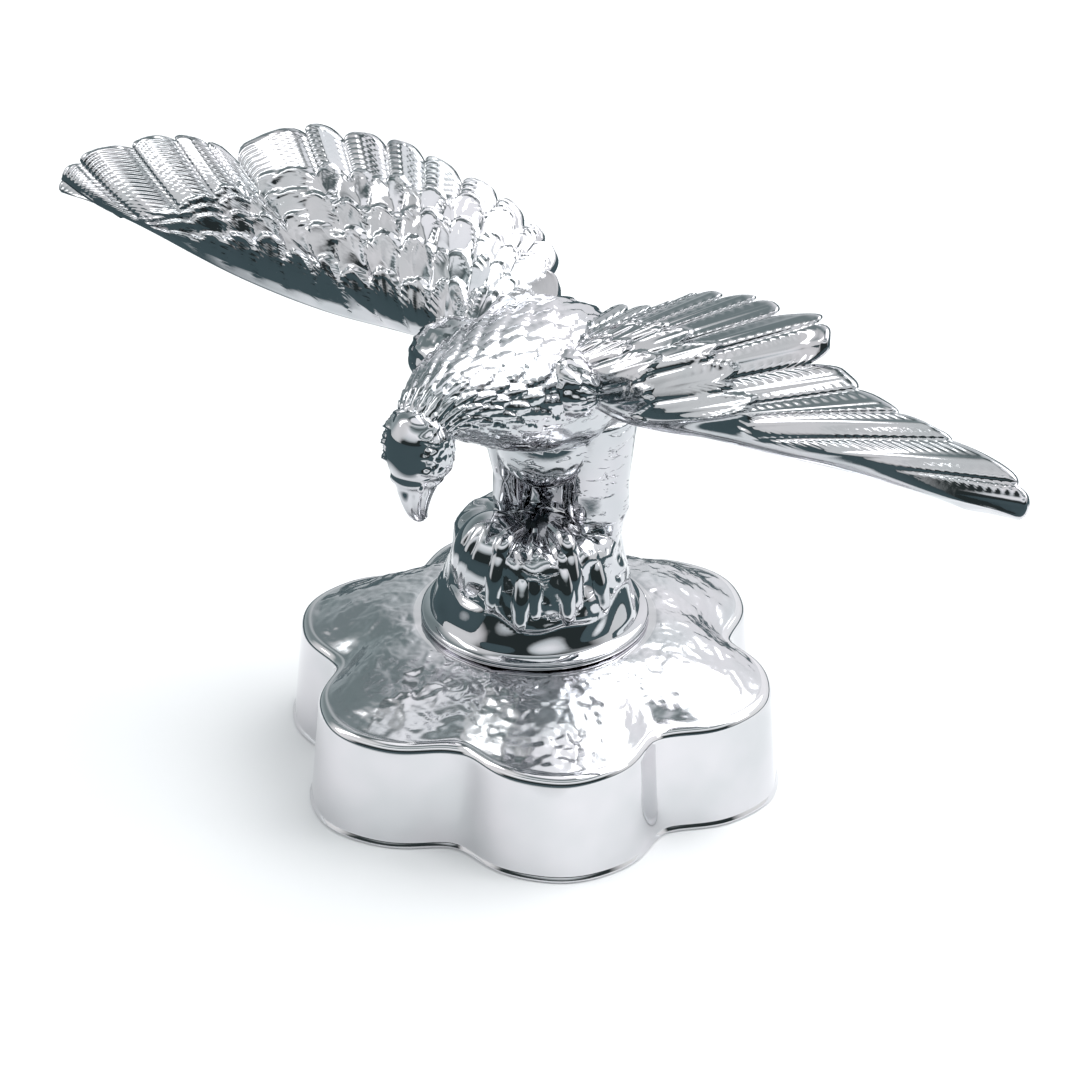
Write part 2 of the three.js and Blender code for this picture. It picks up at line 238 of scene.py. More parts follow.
def egg(
    name: str,
    place: tuple[float, float, float],
    half: tuple[float, float, float],
    tilt: float,
    surface: Surface,
    detail: int,
) -> Shell:
    """An egg-shaped lump, turned about X.

    Args:
        name: The shell's name.
        place: Its centre.
        half: Its half-widths.
        tilt: Its turn about X in degrees.
        surface: Its finish.
        detail: How many faces it has around.

    Returns:
        The closed shell.
    """
    polar = np.linspace(POLE_GAP, math.pi - POLE_GAP, detail * 2 // 3)[:, None]
    turn = circle(detail)
    across = np.sin(polar)
    ball = np.stack([across * np.cos(turn), across * np.sin(turn), np.cos(polar) + 0 * turn], -1)
    ball = ball * np.array(half)
    angle = math.radians(tilt)
    y = ball[..., 1] * math.cos(angle) - ball[..., 2] * math.sin(angle)
    z = ball[..., 1] * math.sin(angle) + ball[..., 2] * math.cos(angle)
    return loft(name, np.stack([ball[..., 0], y, z], -1) + np.array(place), surface)


def leaf_coat(
    along: np.ndarray, around: np.ndarray, columns: int, length: float, salt: float
) -> np.ndarray:
    """Height of overlapping rounded feathers, whose tips point to where along grows.

    Args:
        along: Rows of feathers from the first one.
        around: Feathers from the first one in a row.
        columns: How many feathers close a row.
        length: A feather's length in rows.
        salt: Tells the unevenness of two coats apart.

    Returns:
        The height, from about -0.4 to 1.
    """
    for back in range(3):
        row = np.floor(along) - back
        place = around + 0.5 * np.mod(row, 2)
        column = np.mod(np.floor(place), columns)
        across = 2 * (place - np.floor(place)) - 1
        reach = length * (1 + 0.14 * scatter(row, column, salt))
        down = (along - row - 0.12 * scatter(row, column, salt + 1)) / reach
        tip = np.sqrt(np.clip(1 - (np.clip(down - 0.4, 0, 1) / 0.6) ** 2, 0, 1))
        covers = (down <= 1) & (np.abs(across) <= np.maximum(tip, 0.02))
        shaft = 0.18 * bell(across, 0.14) * np.clip(2 * down, 0, 1)
        vane = np.abs(across) / np.maximum(tip, 0.25)
        barbs = 0.1 * np.cos(TAU * (down * length * 2.6 - 0.9 * np.abs(across)))
        barbs = barbs * smoothstep(vane, 0.15, 0.4)
        dome = 0.25 * vane ** 2 + 0.75 * vane ** 5
        leaf = 0.2 + 0.8 * np.clip(down, 0, 1) - dome * (0.5 + 0.5 * np.clip(down, 0, 1)) + shaft + barbs
        height = leaf if back == 0 else np.where(covers, leaf, height)
    return height


@dataclass
class Shoulder:
    """A boss where a wing leaves the back, coated with feathers that point out along the wing."""

    name: str
    side: int
    place: tuple[float, float, float]
    half: tuple[float, float, float]
    rows: float = 5.5
    columns: int = 11
    relief: float = 0.6
    detail: int = 72

    def build(self) -> Shell:
        """Makes the closed shell."""
        polar = np.linspace(POLE_GAP, math.pi - POLE_GAP, self.detail)[:, None]
        turn = circle(self.detail)
        outward = -self.side * np.cos(polar) + 0 * turn
        ball = np.stack([outward, np.sin(polar) * np.cos(turn), np.sin(polar) * np.sin(turn)], -1)
        row, column = polar / math.pi * self.rows, turn / TAU * self.columns
        coat = leaf_coat(row, column, self.columns, 1.7, 4.0 + self.side)
        fade = smoothstep(np.sin(polar), 0.1, 0.35)
        loops = ball * np.array(self.half) + ball * (self.relief * fade * coat)[..., None]
        return loft(self.name, loops + np.array(self.place))


# The wings.


@dataclass
class Wing:
    """One wing: feathers along lines that fan from the shoulder, with rows of rounded coverts.

    Each row of coverts ends at a share of the feather line, and covert_reach says how far out along
    the wing the rows go. A feather's section falls by dome as a round and by edge_sharpness at its
    edges. The feather lines crowd towards the shoulder by fan.
    """

    name: str
    leading: list[tuple[float, float, float]]
    tips: list[tuple[float, float, float]]
    coverts_point: Coverts
    covert_ends: tuple[float, ...]
    covert_width: float
    covert_reach: tuple[float, ...]
    edge_sharpness: float
    relief: float
    fan: float
    smooth_edge: tuple[float, float] = (0.6, 2.4)
    dome: float = 0.25
    bone: float = 4.3
    edge: float = 1.5
    feathers: int = 15
    primaries: int = 5
    columns_per_feather: int = 14
    secondary_scallop: float = 3.0
    primary_scallop: float = 1.7
    notch: float = 2.0
    lean: float = 0.25
    chord_mm: float = 44.0
    camber: float = 0.24
    curl: float = 0.0
    barb_pitch: float = 1.3
    barb_depth: float = 0.22
    combed: tuple[float, float] = (0.1, 0.2)

    def ends(self, share: np.ndarray) -> tuple[np.ndarray, np.ndarray]:
        """Where a feather line starts on the leading edge and ends on the tips' curve."""
        return along_curve(self.leading, share ** self.fan), along_curve(self.tips, share)

    def carving(
        self, share: np.ndarray, chord: np.ndarray, start: np.ndarray, line: np.ndarray
    ) -> np.ndarray:
        """Height of the carving on the upper side.

        Args:
            share: Each column's place from the shoulder to the tip.
            chord: Each row's place from the leading edge to the feathers' ends.
            start: Each column's point on the leading edge.
            line: Each column's whole feather line.

        Returns:
            The height in shares of the relief, one row for each column.
        """
        feather = share * self.feathers
        across = (2 * (feather - np.floor(feather)) - 1)[:, None]
        reach_mm = np.linalg.norm(line, axis=1)[:, None]
        length = reach_mm * chord[None, :]
        barbs = self.comb(length - 2.2 * np.abs(across))
        shaft = bell(across, 0.1)
        edges = self.dome * across ** 2 + 0.85 * np.abs(across) ** self.edge_sharpness
        flight = 0.4 - edges + 0.25 * shaft
        combed = smoothstep(np.abs(across), *self.combed) * (1 - smoothstep(np.abs(across), 0.86, 0.98))
        height = flight + self.barb_depth / self.relief * barbs * combed

        if self.coverts_point is Coverts.FROM_THE_EDGE:
            away, beside = self.from_the_edge(start[:, None, :] + line[:, None, :] * chord[None, :, None])
            room = 1 - smoothstep(beside, *self.covert_reach)
            ends = [np.zeros_like(away), *(end * self.chord_mm * room for end in self.covert_ends)]
            sides = [beside - self.lean * away] * len(ends)
        else:
            away = length
            outward = np.linalg.norm(start - start[0], axis=1)[:, None]
            ends = [np.zeros_like(outward)]
            for end, reach in zip(self.covert_ends, self.covert_reach):
                ends.append(np.clip(reach - outward, 0, end * reach_mm))
            sides = [outward]
            for root, end in zip(ends, ends[1:]):
                middle = start + line * (root + end) / (2 * reach_mm)
                steps = np.linalg.norm(np.diff(middle, axis=0), axis=1)
                sides.append(np.concatenate([[0.0], np.cumsum(steps)])[:, None])
        for row in range(len(ends) - 1, 0, -1):
            height = self.covert_row(row, ends[row - 1], ends[row], away, sides[row], height)
        return height

    def comb(self, along: np.ndarray) -> np.ndarray:
        """Fine grooves between barbs, from -1 in a groove to 1 between two."""
        return 1 - 2 * (0.5 + 0.5 * np.cos(TAU * along / self.barb_pitch)) ** 2

    def from_the_edge(self, points: np.ndarray) -> tuple[np.ndarray, np.ndarray]:
        """Where points lie from the leading edge and along it.

        Args:
            points: Points on the wing.

        Returns:
            The distance from the edge and the distance along it, in millimetres.
        """
        edge = along_curve(self.leading, np.linspace(0, 1, 200))
        run = np.concatenate([[0.0], np.cumsum(np.linalg.norm(np.diff(edge, axis=0), axis=1))])
        order = np.argsort(edge[:, 0])
        beside, y, z = (
            np.interp(points[..., 0], edge[order, 0], values[order]) for values in (run, *edge.T[1:])
        )
        return np.hypot(points[..., 1] - y, points[..., 2] - z), beside

    def covert_row(
        self,
        row: int,
        root: np.ndarray,
        end: np.ndarray,
        away: np.ndarray,
        beside: np.ndarray,
        below: np.ndarray,
    ) -> np.ndarray:
        """Lays one row of coverts over what is below it.

        Args:
            row: The row's number, 1 beside the leading edge.
            root: How far out the row starts.
            end: How far out it ends.
            away: How far out each point is.
            beside: How far along the row each point is.
            below: The height of what the row covers.

        Returns:
            The height with the row on it.
        """
        place = beside / self.covert_width + 0.5 * (row % 2) + 0.3 * row
        column = np.floor(place)
        across = 2 * (place - column) - 1
        uneven = scatter(column, np.full_like(column, row), len(self.name))
        rounding = np.sqrt(np.clip(1 - across ** 2, 0, 1))
        tip = root + (end - root) * (0.55 + 0.45 * rounding) * (1 + 0.13 * uneven)
        down = (away - root) / np.maximum(tip - root, 0.01)
        shaft = 0.16 * bell(across, 0.09) * smoothstep(down, 0.1, 0.4)
        rim = 0.25 * smoothstep(down, 0.8, 0.92)
        edges = self.dome * across ** 2 + 0.7 * np.abs(across) ** self.edge_sharpness
        petal = 0.4 + 0.75 * np.clip(down, 0, 1) - edges * (1 - 0.3 * down) + shaft + rim
        barbs = self.comb(away - 2.6 * np.abs(across))
        combed = smoothstep(np.abs(across), 0.25, 0.6) * smoothstep(down, 0.4, 0.7)
        petal = petal + 0.13 * barbs * combed
        return np.where((away < tip) & (end > root + 0.3), petal, below)

    def build(self) -> Shell:
        """Makes the wing's closed shell."""
        share = np.linspace(0, 1, self.feathers * self.columns_per_feather + 1)
        start, end = self.ends(share)
        line = end - start
        reach_mm = np.linalg.norm(line, axis=1)
        step = 1 / (4 * self.feathers)
        before, _ = self.ends(np.maximum(share - step, 0))
        after, _ = self.ends(np.minimum(share + step, 1))
        up = unit(np.cross(after - before, line))
        up = up * np.where(up @ np.array([0.0, -1.0, 1.0]) < 0, -1.0, 1.0)[:, None]
        feather = share * self.feathers
        vane = np.abs(2 * (feather - np.floor(feather)) - 1)
        first_primary = self.feathers - self.primaries
        primary = smoothstep(feather, first_primary, first_primary + 0.3)
        scallop = self.secondary_scallop + (self.primary_scallop - self.secondary_scallop) * primary
        notch = self.notch * np.clip(1 - np.abs(feather - first_primary) / 0.25, 0, 1)
        reach = 1 - (scallop * vane ** 3 + notch) / reach_mm
        bone = self.bone * (1 - 0.45 * share)
        curl_at = bell(feather - first_primary + 0.5, 0.4)

        # Places along the chord, closest together round the leading edge.
        nose = 0.04 * (np.arange(7) / 6) ** 2
        upper = np.concatenate([nose, np.linspace(0.04, 0.55, 44)[1:], np.linspace(0.55, 1, 56)[1:]])
        lower = np.concatenate([np.linspace(1, 0.04, 20), nose[::-1][1:-1]])

        def face(along: np.ndarray, side: int, relief: np.ndarray) -> np.ndarray:
            """Points of the upper or lower face.

            Args:
                along: Places along the chord.
                side: 1 above, -1 below.
                relief: Height of the carving in millimetres.

            Returns:
                One row of points for each column.
            """
            place = along[None, :] * reach[:, None]
            body = bone[:, None] * 2.6 * np.sqrt(place) * (1 - place) ** 1.5
            camber = self.camber * place * (1 - place) * reach_mm[:, None]
            curled = self.curl * smoothstep(along, 0.84, 1.0)[None, :] ** 2 * curl_at[:, None]
            rounding = np.sqrt(np.clip(1 - np.clip(1 - place / 0.03, 0, 1) ** 2, 0, 1))
            worn = np.sqrt(np.clip(1 - np.clip((along[None, :] - 0.975) / 0.03, 0, 1) ** 2, 0, 1))
            share_of_body = 0.7 if side > 0 else -0.3
            skin = side * 0.5 * self.edge * rounding * worn
            lift = camber + share_of_body * body + skin + relief + curled
            flat = start[:, None, :] + line[:, None, :] * place[..., None]
            return flat + up[:, None, :] * lift[..., None]

        along_edge = unit(np.gradient(start, axis=0))
        slant = np.linalg.norm(np.cross(along_edge, unit(line)), axis=1)
        inset = (reach_mm * slant)[:, None] * upper[None, :]
        fade = smoothstep(inset, *self.smooth_edge)
        carving = self.relief * fade * self.carving(share, upper, start, line)
        under = 0.3 * self.relief * vane[:, None] * smoothstep(lower, 0.2, 0.5)[None, :]
        loops = np.concatenate([face(upper, 1, carving), face(lower, -1, under)], axis=1)
        return loft(self.name, loops)


# The body, head, legs and tail.


@dataclass
class OvalBody:
    """Oval rings along a bent middle line in the eagle's plane of symmetry."""

    name: str
    stations: list[tuple[float, float, float, float]]
    around: int
    along: int

    def rings(self) -> tuple[np.ndarray, np.ndarray, np.ndarray, np.ndarray]:
        """The middle line, the half-widths and the ring's outward direction at each step."""
        share = np.linspace(0, 1, self.along + 1)
        line = along_curve([(MIDDLE, y, z) for y, z, _, _ in self.stations], share)
        girth = along_curve([(wide, deep, 0.0) for _, _, wide, deep in self.stations], share)
        tangent = unit(np.gradient(line, axis=0))
        out = unit(np.cross(tangent, np.array([1.0, 0.0, 0.0])))
        return share, line, girth, out

    def build(self, carving: np.ndarray, surface: Surface | np.ndarray) -> Shell:
        """Makes the closed shell.

        Args:
            carving: How far each point stands out, in millimetres, one row for each ring.
            surface: The finish, or a finish index for each face between the rings.

        Returns:
            The shell.
        """
        _, line, girth, out = self.rings()
        turn = circle(self.around)
        across = np.array([1.0, 0.0, 0.0])
        wide = (girth[:, 0:1] + carving) * np.sin(turn)
        deep = (girth[:, 1:2] + carving) * np.cos(turn)
        loops = line[:, None, :] + wide[..., None] * across + deep[..., None] * out[:, None, :]
        return loft(self.name, loops, surface)


@dataclass
class Torso(OvalBody):
    """The trunk from inside the head to the rump, with a coat of overlapping feathers."""

    feather_rows: float = 18.0
    feather_columns: int = 19
    relief: float = 0.85

    def shell(self) -> Shell:
        """Makes the feathered shell."""
        share, _, _, _ = self.rings()
        turn = np.arange(self.around) / self.around
        back = 0.5 - 0.5 * np.cos(turn * TAU)
        row, column = share[:, None] * self.feather_rows, turn[None, :] * self.feather_columns
        coat = leaf_coat(row, column, self.feather_columns, 1.75, 3.0)
        fade = smoothstep(share, 0.03, 0.1) * (1 - smoothstep(share, 0.9, 0.98))
        bare = 0.12 + 0.22 * smoothstep(share, 0.35, 0.6)[:, None]
        plain = 0.35 * (1 - smoothstep(share, 0.4, 0.55))[:, None]
        cover = plain + (1 - plain) * smoothstep(back[None, :] - bare, 0.0, 0.22)
        smooth = cover[:-1] < 0.4
        finish = np.where(smooth, Surface.CHASED.value, Surface.PLUMAGE.value)
        return self.build(self.relief * fade[:, None] * cover * coat, finish)


@dataclass
class Head(OvalBody):
    """The bowed head: a polished crown, brows, eyes and a hooked beak with its gape."""

    beak_root: float = 50.5
    face_edge: float = 1.05

    def shells(self) -> list[Shell]:
        """Makes the head and the parts raised on it."""
        share, line, _, _ = self.rings()
        turn = circle(self.around)
        height = line[:, 2][:, None]
        aside = np.abs(np.angle(np.exp(1j * turn)))
        # Heights are over the flange's underside, and aside is the angle from the front of the face.
        beak = 1 - smoothstep(height, self.beak_root - 4, self.beak_root)
        ridge = 0.35 * beak * bell(aside, 0.35)
        gape = -0.6 * (1 - smoothstep(height, 50, 53.5)) * bell(aside - 1.15, 0.13)
        culmen = -0.3 * beak * bell(aside - 0.5, 0.12)
        cere = 0.45 * bell(height - 50.3, 0.8) * smoothstep(share[:, None], 0.3, 0.5)
        edge = self.face_edge + 0.22 * np.cos(height * 1.9)
        fringe = leaf_coat((66 - height) / 2.2, turn / TAU * 24, 24, 1.7, 5.0)
        behind_face = smoothstep(aside - edge, -0.05, 0.12) * smoothstep(height, self.beak_root, 53)
        fringe = 0.6 * (0.5 + fringe) * behind_face
        lip = 0.55 * bell(aside - edge, 0.11) * smoothstep(height, 51, 53.5)
        parts = [self.build(ridge + gape + culmen + cere + fringe + lip, Surface.POLISHED)]
        # Each one's distance from the middle, its y and z, half-widths, tilt and detail.
        raised = [
            ("brow", 4.7, (-43.6, 56.6), (1.5, 1.5, 3.4), 14, 28),
            ("eye", 5.8, (-41.8, 54.4), (1.1, 1.5, 1.4), 0, 28),
            ("nostril", 3.2, (-44.5, 50.4), (0.8, 0.6, 1.2), 10, 16),
        ]
        for side in (-1, 1):
            for name, off_middle, place, half, tilt, detail in raised:
                centre = (MIDDLE + side * off_middle, *place)
                parts.append(egg(name, centre, half, tilt, Surface.POLISHED, detail))
        return parts


@dataclass
class Leg:
    """A feathered thigh that runs down into the rock."""

    x: float
    y: float
    wide: float
    deep: float
    flare: float
    surface: Surface = Surface.CHASED
    around: int = 56
    along: int = 48

    def build(self) -> Shell:
        """Makes the closed shell."""
        # From inside the body down into the rock, with the girth at each height.
        heights = np.array([47.0, 39.0, 31.0, 25.0, 22.0, 15.0])
        girths = [self.flare, 0.5 + 0.5 * self.flare, 1.0, 1.0, 0.85, 0.7]
        level = np.interp(np.linspace(0, 1, self.along), np.linspace(0, 1, len(heights)), heights)
        size = np.interp(-level, -heights, girths)
        turn = circle(self.around)
        tufts = leaf_coat((47 - level)[:, None] / 4.2, turn / TAU * 9, 9, 1.7, 9.0)
        fold = 0.045 * np.cos(turn * 6 + level[:, None] * 0.35) * smoothstep(27 - level[:, None], 0, 4)
        grown = size[:, None] * (1 + 0.006 * tufts + fold)
        x = self.x + self.wide * grown * np.cos(turn)
        y = self.y + self.deep * grown * np.sin(turn)
        z = np.broadcast_to(level[:, None], grown.shape)
        return loft("leg", np.stack([x, y, z], -1), self.surface)


@dataclass
class Tail:
    """A fan of straight feathers pressed down behind the rock."""

    feathers: int = 7
    columns_per_feather: int = 12
    rows: int = 40
    thickness: float = 3.4

    def build(self) -> Shell:
        """Makes the closed shell."""
        spread = np.linspace(-1, 1, self.feathers * self.columns_per_feather + 1)[:, None]
        place = (spread + 1) / 2 * self.feathers
        across = 2 * (place - np.floor(place)) - 1
        vane = np.abs(across)
        faces = []
        for side in (1, -1):
            down = np.linspace(0, 1, self.rows)[None, ::side]
            reach = down * (1 - 0.05 * vane ** 3)
            barbs = 0.08 * np.cos(TAU * (29 * reach - 1.2 * vane) / 1.45)
            combed = smoothstep(vane, 0.12, 0.25) * (1 - smoothstep(vane, 0.85, 0.97))
            carving = -0.55 * vane ** 2 + 0.2 * bell(across, 0.1) + barbs * combed
            # The fan widens, swings back and drops as it reaches down.
            half = 5.5 + 2.5 * reach
            middle = 11.5 + 5 * reach ** 1.4 + (1 - spread ** 2) * 3.2
            depth = middle + side * (0.5 * self.thickness + carving)
            height = 34 - 29 * reach - 1.2 * spread ** 2 * reach
            faces.append(np.stack([MIDDLE + half * spread, depth, height], -1))
        return loft("tail", np.concatenate(faces, axis=1))


# The perch.


@dataclass
class Perch:
    """The rock with its polished cove and thin flange, and the boulder on its front."""

    top: float = 21.0
    flange: float = 1.6
    around: int = 168
    boulder_angle: float = -108.0
    groove_angle: float = -112.0
    bare_angle: float = -122.0

    def radius(self, height: np.ndarray) -> np.ndarray:
        """The rock's mean radius at a height over the flange's underside."""
        share = np.clip(height / self.top, 0, 1)
        return FLANGE_RADIUS * (0.955 - 0.26 * share - 0.04 * np.sin(share * math.pi))

    def rock(self) -> Shell:
        """The rock: smooth below its ledge, craggy above it."""
        shoulder = self.top - 3.5
        rise = np.linspace(self.flange * 1.25, shoulder, 36)
        crown = float(self.radius(np.array(shoulder)))
        bend = np.radians(np.linspace(12, 82, 9))
        turn = circle(self.around)
        # Radius and height of each ring: the flange, the side, the rounded shoulder and the crown.
        rows = [
            (FLANGE_RADIUS - 0.25, 0.0),
            (FLANGE_RADIUS, 0.25),
            (FLANGE_RADIUS, 0.62),
            (FLANGE_RADIUS - 0.35, 0.8),
            (FLANGE_RADIUS - 0.1, 1.0),
            (FLANGE_RADIUS - 0.1, self.flange - 0.3),
            (FLANGE_RADIUS - 0.55, self.flange),
            *zip(self.radius(rise).tolist(), rise.tolist()),
            *zip((crown - 6.5 * (1 - np.cos(bend))).tolist(), (shoulder + 5 * np.sin(bend)).tolist()),
            (crown - 9.0, self.top + 1.7),
            (crown - 12.0, self.top + 1.8),
        ]
        radius, height = (values[:, None] for values in np.array(rows).T)
        ledge = 8.3 + 1.3 * np.sin(3 * turn + 0.6) + 0.6 * np.sin(8 * turn)
        above = smoothstep(height - ledge, -0.3, 0.5)
        crag = (
            np.sin(7 * turn + 0.4 * height)
            + 0.6 * np.sin(11 * turn - 0.7 * height)
            + 0.45 * np.sin(19 * turn + 1.3 * height + 2 * np.sin(5 * turn))
        )
        lobe = bell(np.angle(np.exp(1j * (turn - math.radians(self.bare_angle)))), 0.55)
        swell = np.sin(5 * turn + 0.35 * height) + 0.6 * np.sin(8 * turn - 0.6 * height + 2)
        cove = (1 - above) * smoothstep(height, self.flange + 0.2, self.flange + 2.4)
        soft = 0.26 * swell * cove
        reach = radius + soft + above * ((0.45 + 0.26 * crag) * (1 - lobe) - 0.8 * lobe)
        on_top = smoothstep(height, self.top - 2, self.top + 1) * smoothstep(radius, 5, 12)
        height = height + 0.3 * crag * on_top
        loops = np.stack([reach * np.cos(turn), reach * np.sin(turn), height], -1)
        smooth = np.array(rows)[:-1, 1] < 8.5
        return loft("rock", loops, np.where(smooth, Surface.POLISHED.value, Surface.CHASED.value))

    def boulder(self) -> Shell:
        """The rounded boulder on the rock's front, with its pair of grooves."""
        angle = math.radians(self.boulder_angle)
        reach = 0.42 * FLANGE_RADIUS
        place = (reach * math.cos(angle), reach * math.sin(angle), 14.6)
        lump = egg("boulder", place, (8.8, 8.8, 11.6), 10, Surface.POLISHED, 96)
        offset = lump.points - np.array(place)
        turn = np.arctan2(offset[:, 1], offset[:, 0])
        swing = turn - math.radians(self.groove_angle) - 0.03 * offset[:, 2]
        grooves = bell(swing + 0.17, 0.055) + bell(swing - 0.17, 0.055)
        inside = 1 - smoothstep(np.abs(offset[:, 2] - 1.5), 5.5, 9.0)
        lump.points = lump.points - unit(offset) * (0.6 * grooves * inside)[:, None]
        return lump


# Node trees.


def add_node(
    tree: bpy.types.NodeTree,
    kind: str,
    links: dict[Any, bpy.types.NodeSocket] | None = None,
    values: dict[Any, Any] | None = None,
    **settings: Any,
) -> bpy.types.Node:
    """Adds a node with its settings, values and incoming links.

    Args:
        tree: The tree that gets the node.
        kind: The node's type.
        links: The sockets that feed its inputs.
        values: Constant values on its inputs.
        **settings: The node's own properties.

    Returns:
        The node.
    """
    node = tree.nodes.new(kind)
    for name, value in settings.items():
        setattr(node, name, value)
    for socket, value in (values or {}).items():
        node.inputs[socket].default_value = value
    for socket, source in (links or {}).items():
        tree.links.new(source, node.inputs[socket])
    return node


def bake_nodes(piece: bpy.types.Object, tree: bpy.types.NodeTree, sizes: dict[str, Any]) -> None:
    """Runs a geometry tree on an object and keeps the result as its plain mesh.

    Args:
        piece: The object.
        tree: The geometry tree.
        sizes: The tree's named inputs.
    """
    modifier = piece.modifiers.new(tree.name, "NODES")
    modifier.node_group = tree
    for item in tree.interface.items_tree:
        if item.item_type == "SOCKET" and item.in_out == "INPUT" and item.name in sizes:
            modifier[item.identifier] = sizes[item.name]
    bake_modifiers(piece)


def bake_modifiers(piece: bpy.types.Object) -> None:
    """Turns an object's modifiers into its plain mesh."""
    graph = bpy.context.evaluated_depsgraph_get()
    graph.update()
    mesh = bpy.data.meshes.new_from_object(piece.evaluated_get(graph), depsgraph=graph)
    old = piece.data
    piece.modifiers.clear()
    piece.data = mesh
    bpy.data.meshes.remove(old)


def new_tree(name: str, sizes: dict[str, str]) -> tuple[bpy.types.NodeTree, bpy.types.Node]:
    """Starts a geometry tree with named inputs.

    Args:
        name: The tree's name.
        sizes: The kind of each input by its name.

    Returns:
        The tree and its input node.
    """
    tree = bpy.data.node_groups.new(name, "GeometryNodeTree")
    tree.interface.new_socket("Geometry", in_out="INPUT", socket_type="NodeSocketGeometry")
    for size, kind in sizes.items():
        tree.interface.new_socket(size, in_out="INPUT", socket_type=f"NodeSocket{kind}")
    tree.interface.new_socket("Geometry", in_out="OUTPUT", socket_type="NodeSocketGeometry")
    return tree, add_node(tree, "NodeGroupInput")


def end_tree(
    tree: bpy.types.NodeTree, shape: bpy.types.NodeSocket, finish: bpy.types.Material
) -> None:
    """Ends a geometry tree with real meshes and their finish.

    Args:
        tree: The tree.
        shape: The shape so far.
        finish: The material that it gets.
    """
    real = add_node(tree, "GeometryNodeRealizeInstances", {"Geometry": shape})
    dressed = add_node(tree, "GeometryNodeSetMaterial", {"Geometry": real.outputs[0]}, {"Material": finish})
    add_node(tree, "NodeGroupOutput", {"Geometry": dressed.outputs[0]})


@dataclass
class Toes:
    """The toes that hang over the rock's edge: one knuckled toe, repeated round the rock."""

    perch: Perch
    count: int = 6
    first_angle: float = -8.0
    angle_step: float = -14.0
    sway: float = 5.5
    radius: float = 1.75

    def tree(self, finish: bpy.types.Material) -> bpy.types.NodeTree:
        """The geometry tree: sweeps the toe along its line, then repeats it round the rock."""
        sizes = {"Toe radius": "Float", "Toe count": "Int", "First angle": "Float", "Angle step": "Float"}
        tree, given = new_tree("toe_fan", sizes)
        line = add_node(tree, "GeometryNodeMeshToCurve", {"Mesh": given.outputs["Geometry"]})
        girth = add_node(tree, "GeometryNodeInputNamedAttribute", values={"Name": "girth"})
        factors = {0: girth.outputs["Attribute"], 1: given.outputs["Toe radius"]}
        thick = add_node(tree, "ShaderNodeMath", factors, operation="MULTIPLY")
        ring = add_node(tree, "GeometryNodeCurvePrimitiveCircle", values={"Resolution": 20, "Radius": 1.0})
        sweep = {"Curve": line.outputs[0], "Profile Curve": ring.outputs[0], "Scale": thick.outputs[0]}
        swept = add_node(tree, "GeometryNodeCurveToMesh", sweep, {"Fill Caps": True})
        count = {"Count": given.outputs["Toe count"]}
        stops = add_node(tree, "GeometryNodeMeshLine", count, {"Offset": (0, 0, 0)})
        number = add_node(tree, "GeometryNodeInputIndex")
        steps = {0: number.outputs[0], 1: given.outputs["Angle step"], 2: given.outputs["First angle"]}
        turned = add_node(tree, "ShaderNodeMath", steps, operation="MULTIPLY_ADD")
        # Inputs 2 and 3 are the least and most of a single number, 0 and 1 of three, and 8 is the seed.
        most = math.radians(self.sway)
        swing = {2: -most, 3: most, 8: 4}
        sway = add_node(tree, "FunctionNodeRandomValue", values=swing, data_type="FLOAT")
        angle = {0: turned.outputs[0], 1: sway.outputs[1]}
        swayed = add_node(tree, "ShaderNodeMath", angle, operation="ADD")
        turn = add_node(tree, "ShaderNodeCombineXYZ", {"Z": swayed.outputs[0]})
        growth = {0: (0.95, 0.95, 0.94), 1: (1.02, 1.02, 1.03), 8: 9}
        uneven = add_node(tree, "FunctionNodeRandomValue", values=growth, data_type="FLOAT_VECTOR")
        spread = {"Points": stops, "Instance": swept, "Rotation": turn, "Scale": uneven}
        spread = {socket: source.outputs[0] for socket, source in spread.items()}
        toes = add_node(tree, "GeometryNodeInstanceOnPoints", spread)
        end_tree(tree, toes.outputs[0], finish)
        return tree

    def build(self, materials: list[bpy.types.Material]) -> bpy.types.Object:
        """Makes the toes as one object.

        Args:
            materials: The finishes, in the order of Surface.

        Returns:
            The object.
        """
        # Shares of the rock's radius, heights and girths, from inside the rock to the claw.
        path = [
            (0.5, 22.5, 0.9), (0.75, 22.5, 1.15), (0.93, 19.5, 1.1), (0.98, 16.5, 1.3),
            (1.0, 13.2, 1.15), (1.0, 10.6, 1.0), (0.985, 8.6, 0.45),
        ]
        share = np.linspace(0, 1, 30)
        places = along_curve(path, share)
        reach = self.perch.radius(places[:, 1]) * places[:, 0]
        knuckles = 1 + 0.035 * np.cos(TAU * share * 3.2)
        points = np.stack([reach, np.zeros_like(reach), places[:, 1] + FIGURE_FOOT], -1)
        mesh = bpy.data.meshes.new("toes")
        edges = [(i, i + 1) for i in range(len(points) - 1)]
        mesh.from_pydata((points * MILLIMETRE).tolist(), edges, [])
        girth = mesh.attributes.new("girth", "FLOAT", "POINT")
        girth.data.foreach_set("value", (places[:, 2] * knuckles).astype(np.float32))
        piece = bpy.data.objects.new("toes", mesh)
        bpy.context.collection.objects.link(piece)
        sizes = {
            "Toe radius": self.radius * MILLIMETRE,
            "Toe count": self.count,
            "First angle": math.radians(self.first_angle),
            "Angle step": math.radians(self.angle_step),
        }
        bake_nodes(piece, self.tree(materials[Surface.POLISHED.value]), sizes)
        piece.data.materials.clear()
        for material in materials:
            piece.data.materials.append(material)
        finish = np.full(len(piece.data.polygons), Surface.POLISHED.value, dtype=np.int32)
        piece.data.polygons.foreach_set("material_index", finish)
        piece.data.shade_smooth()
        return piece


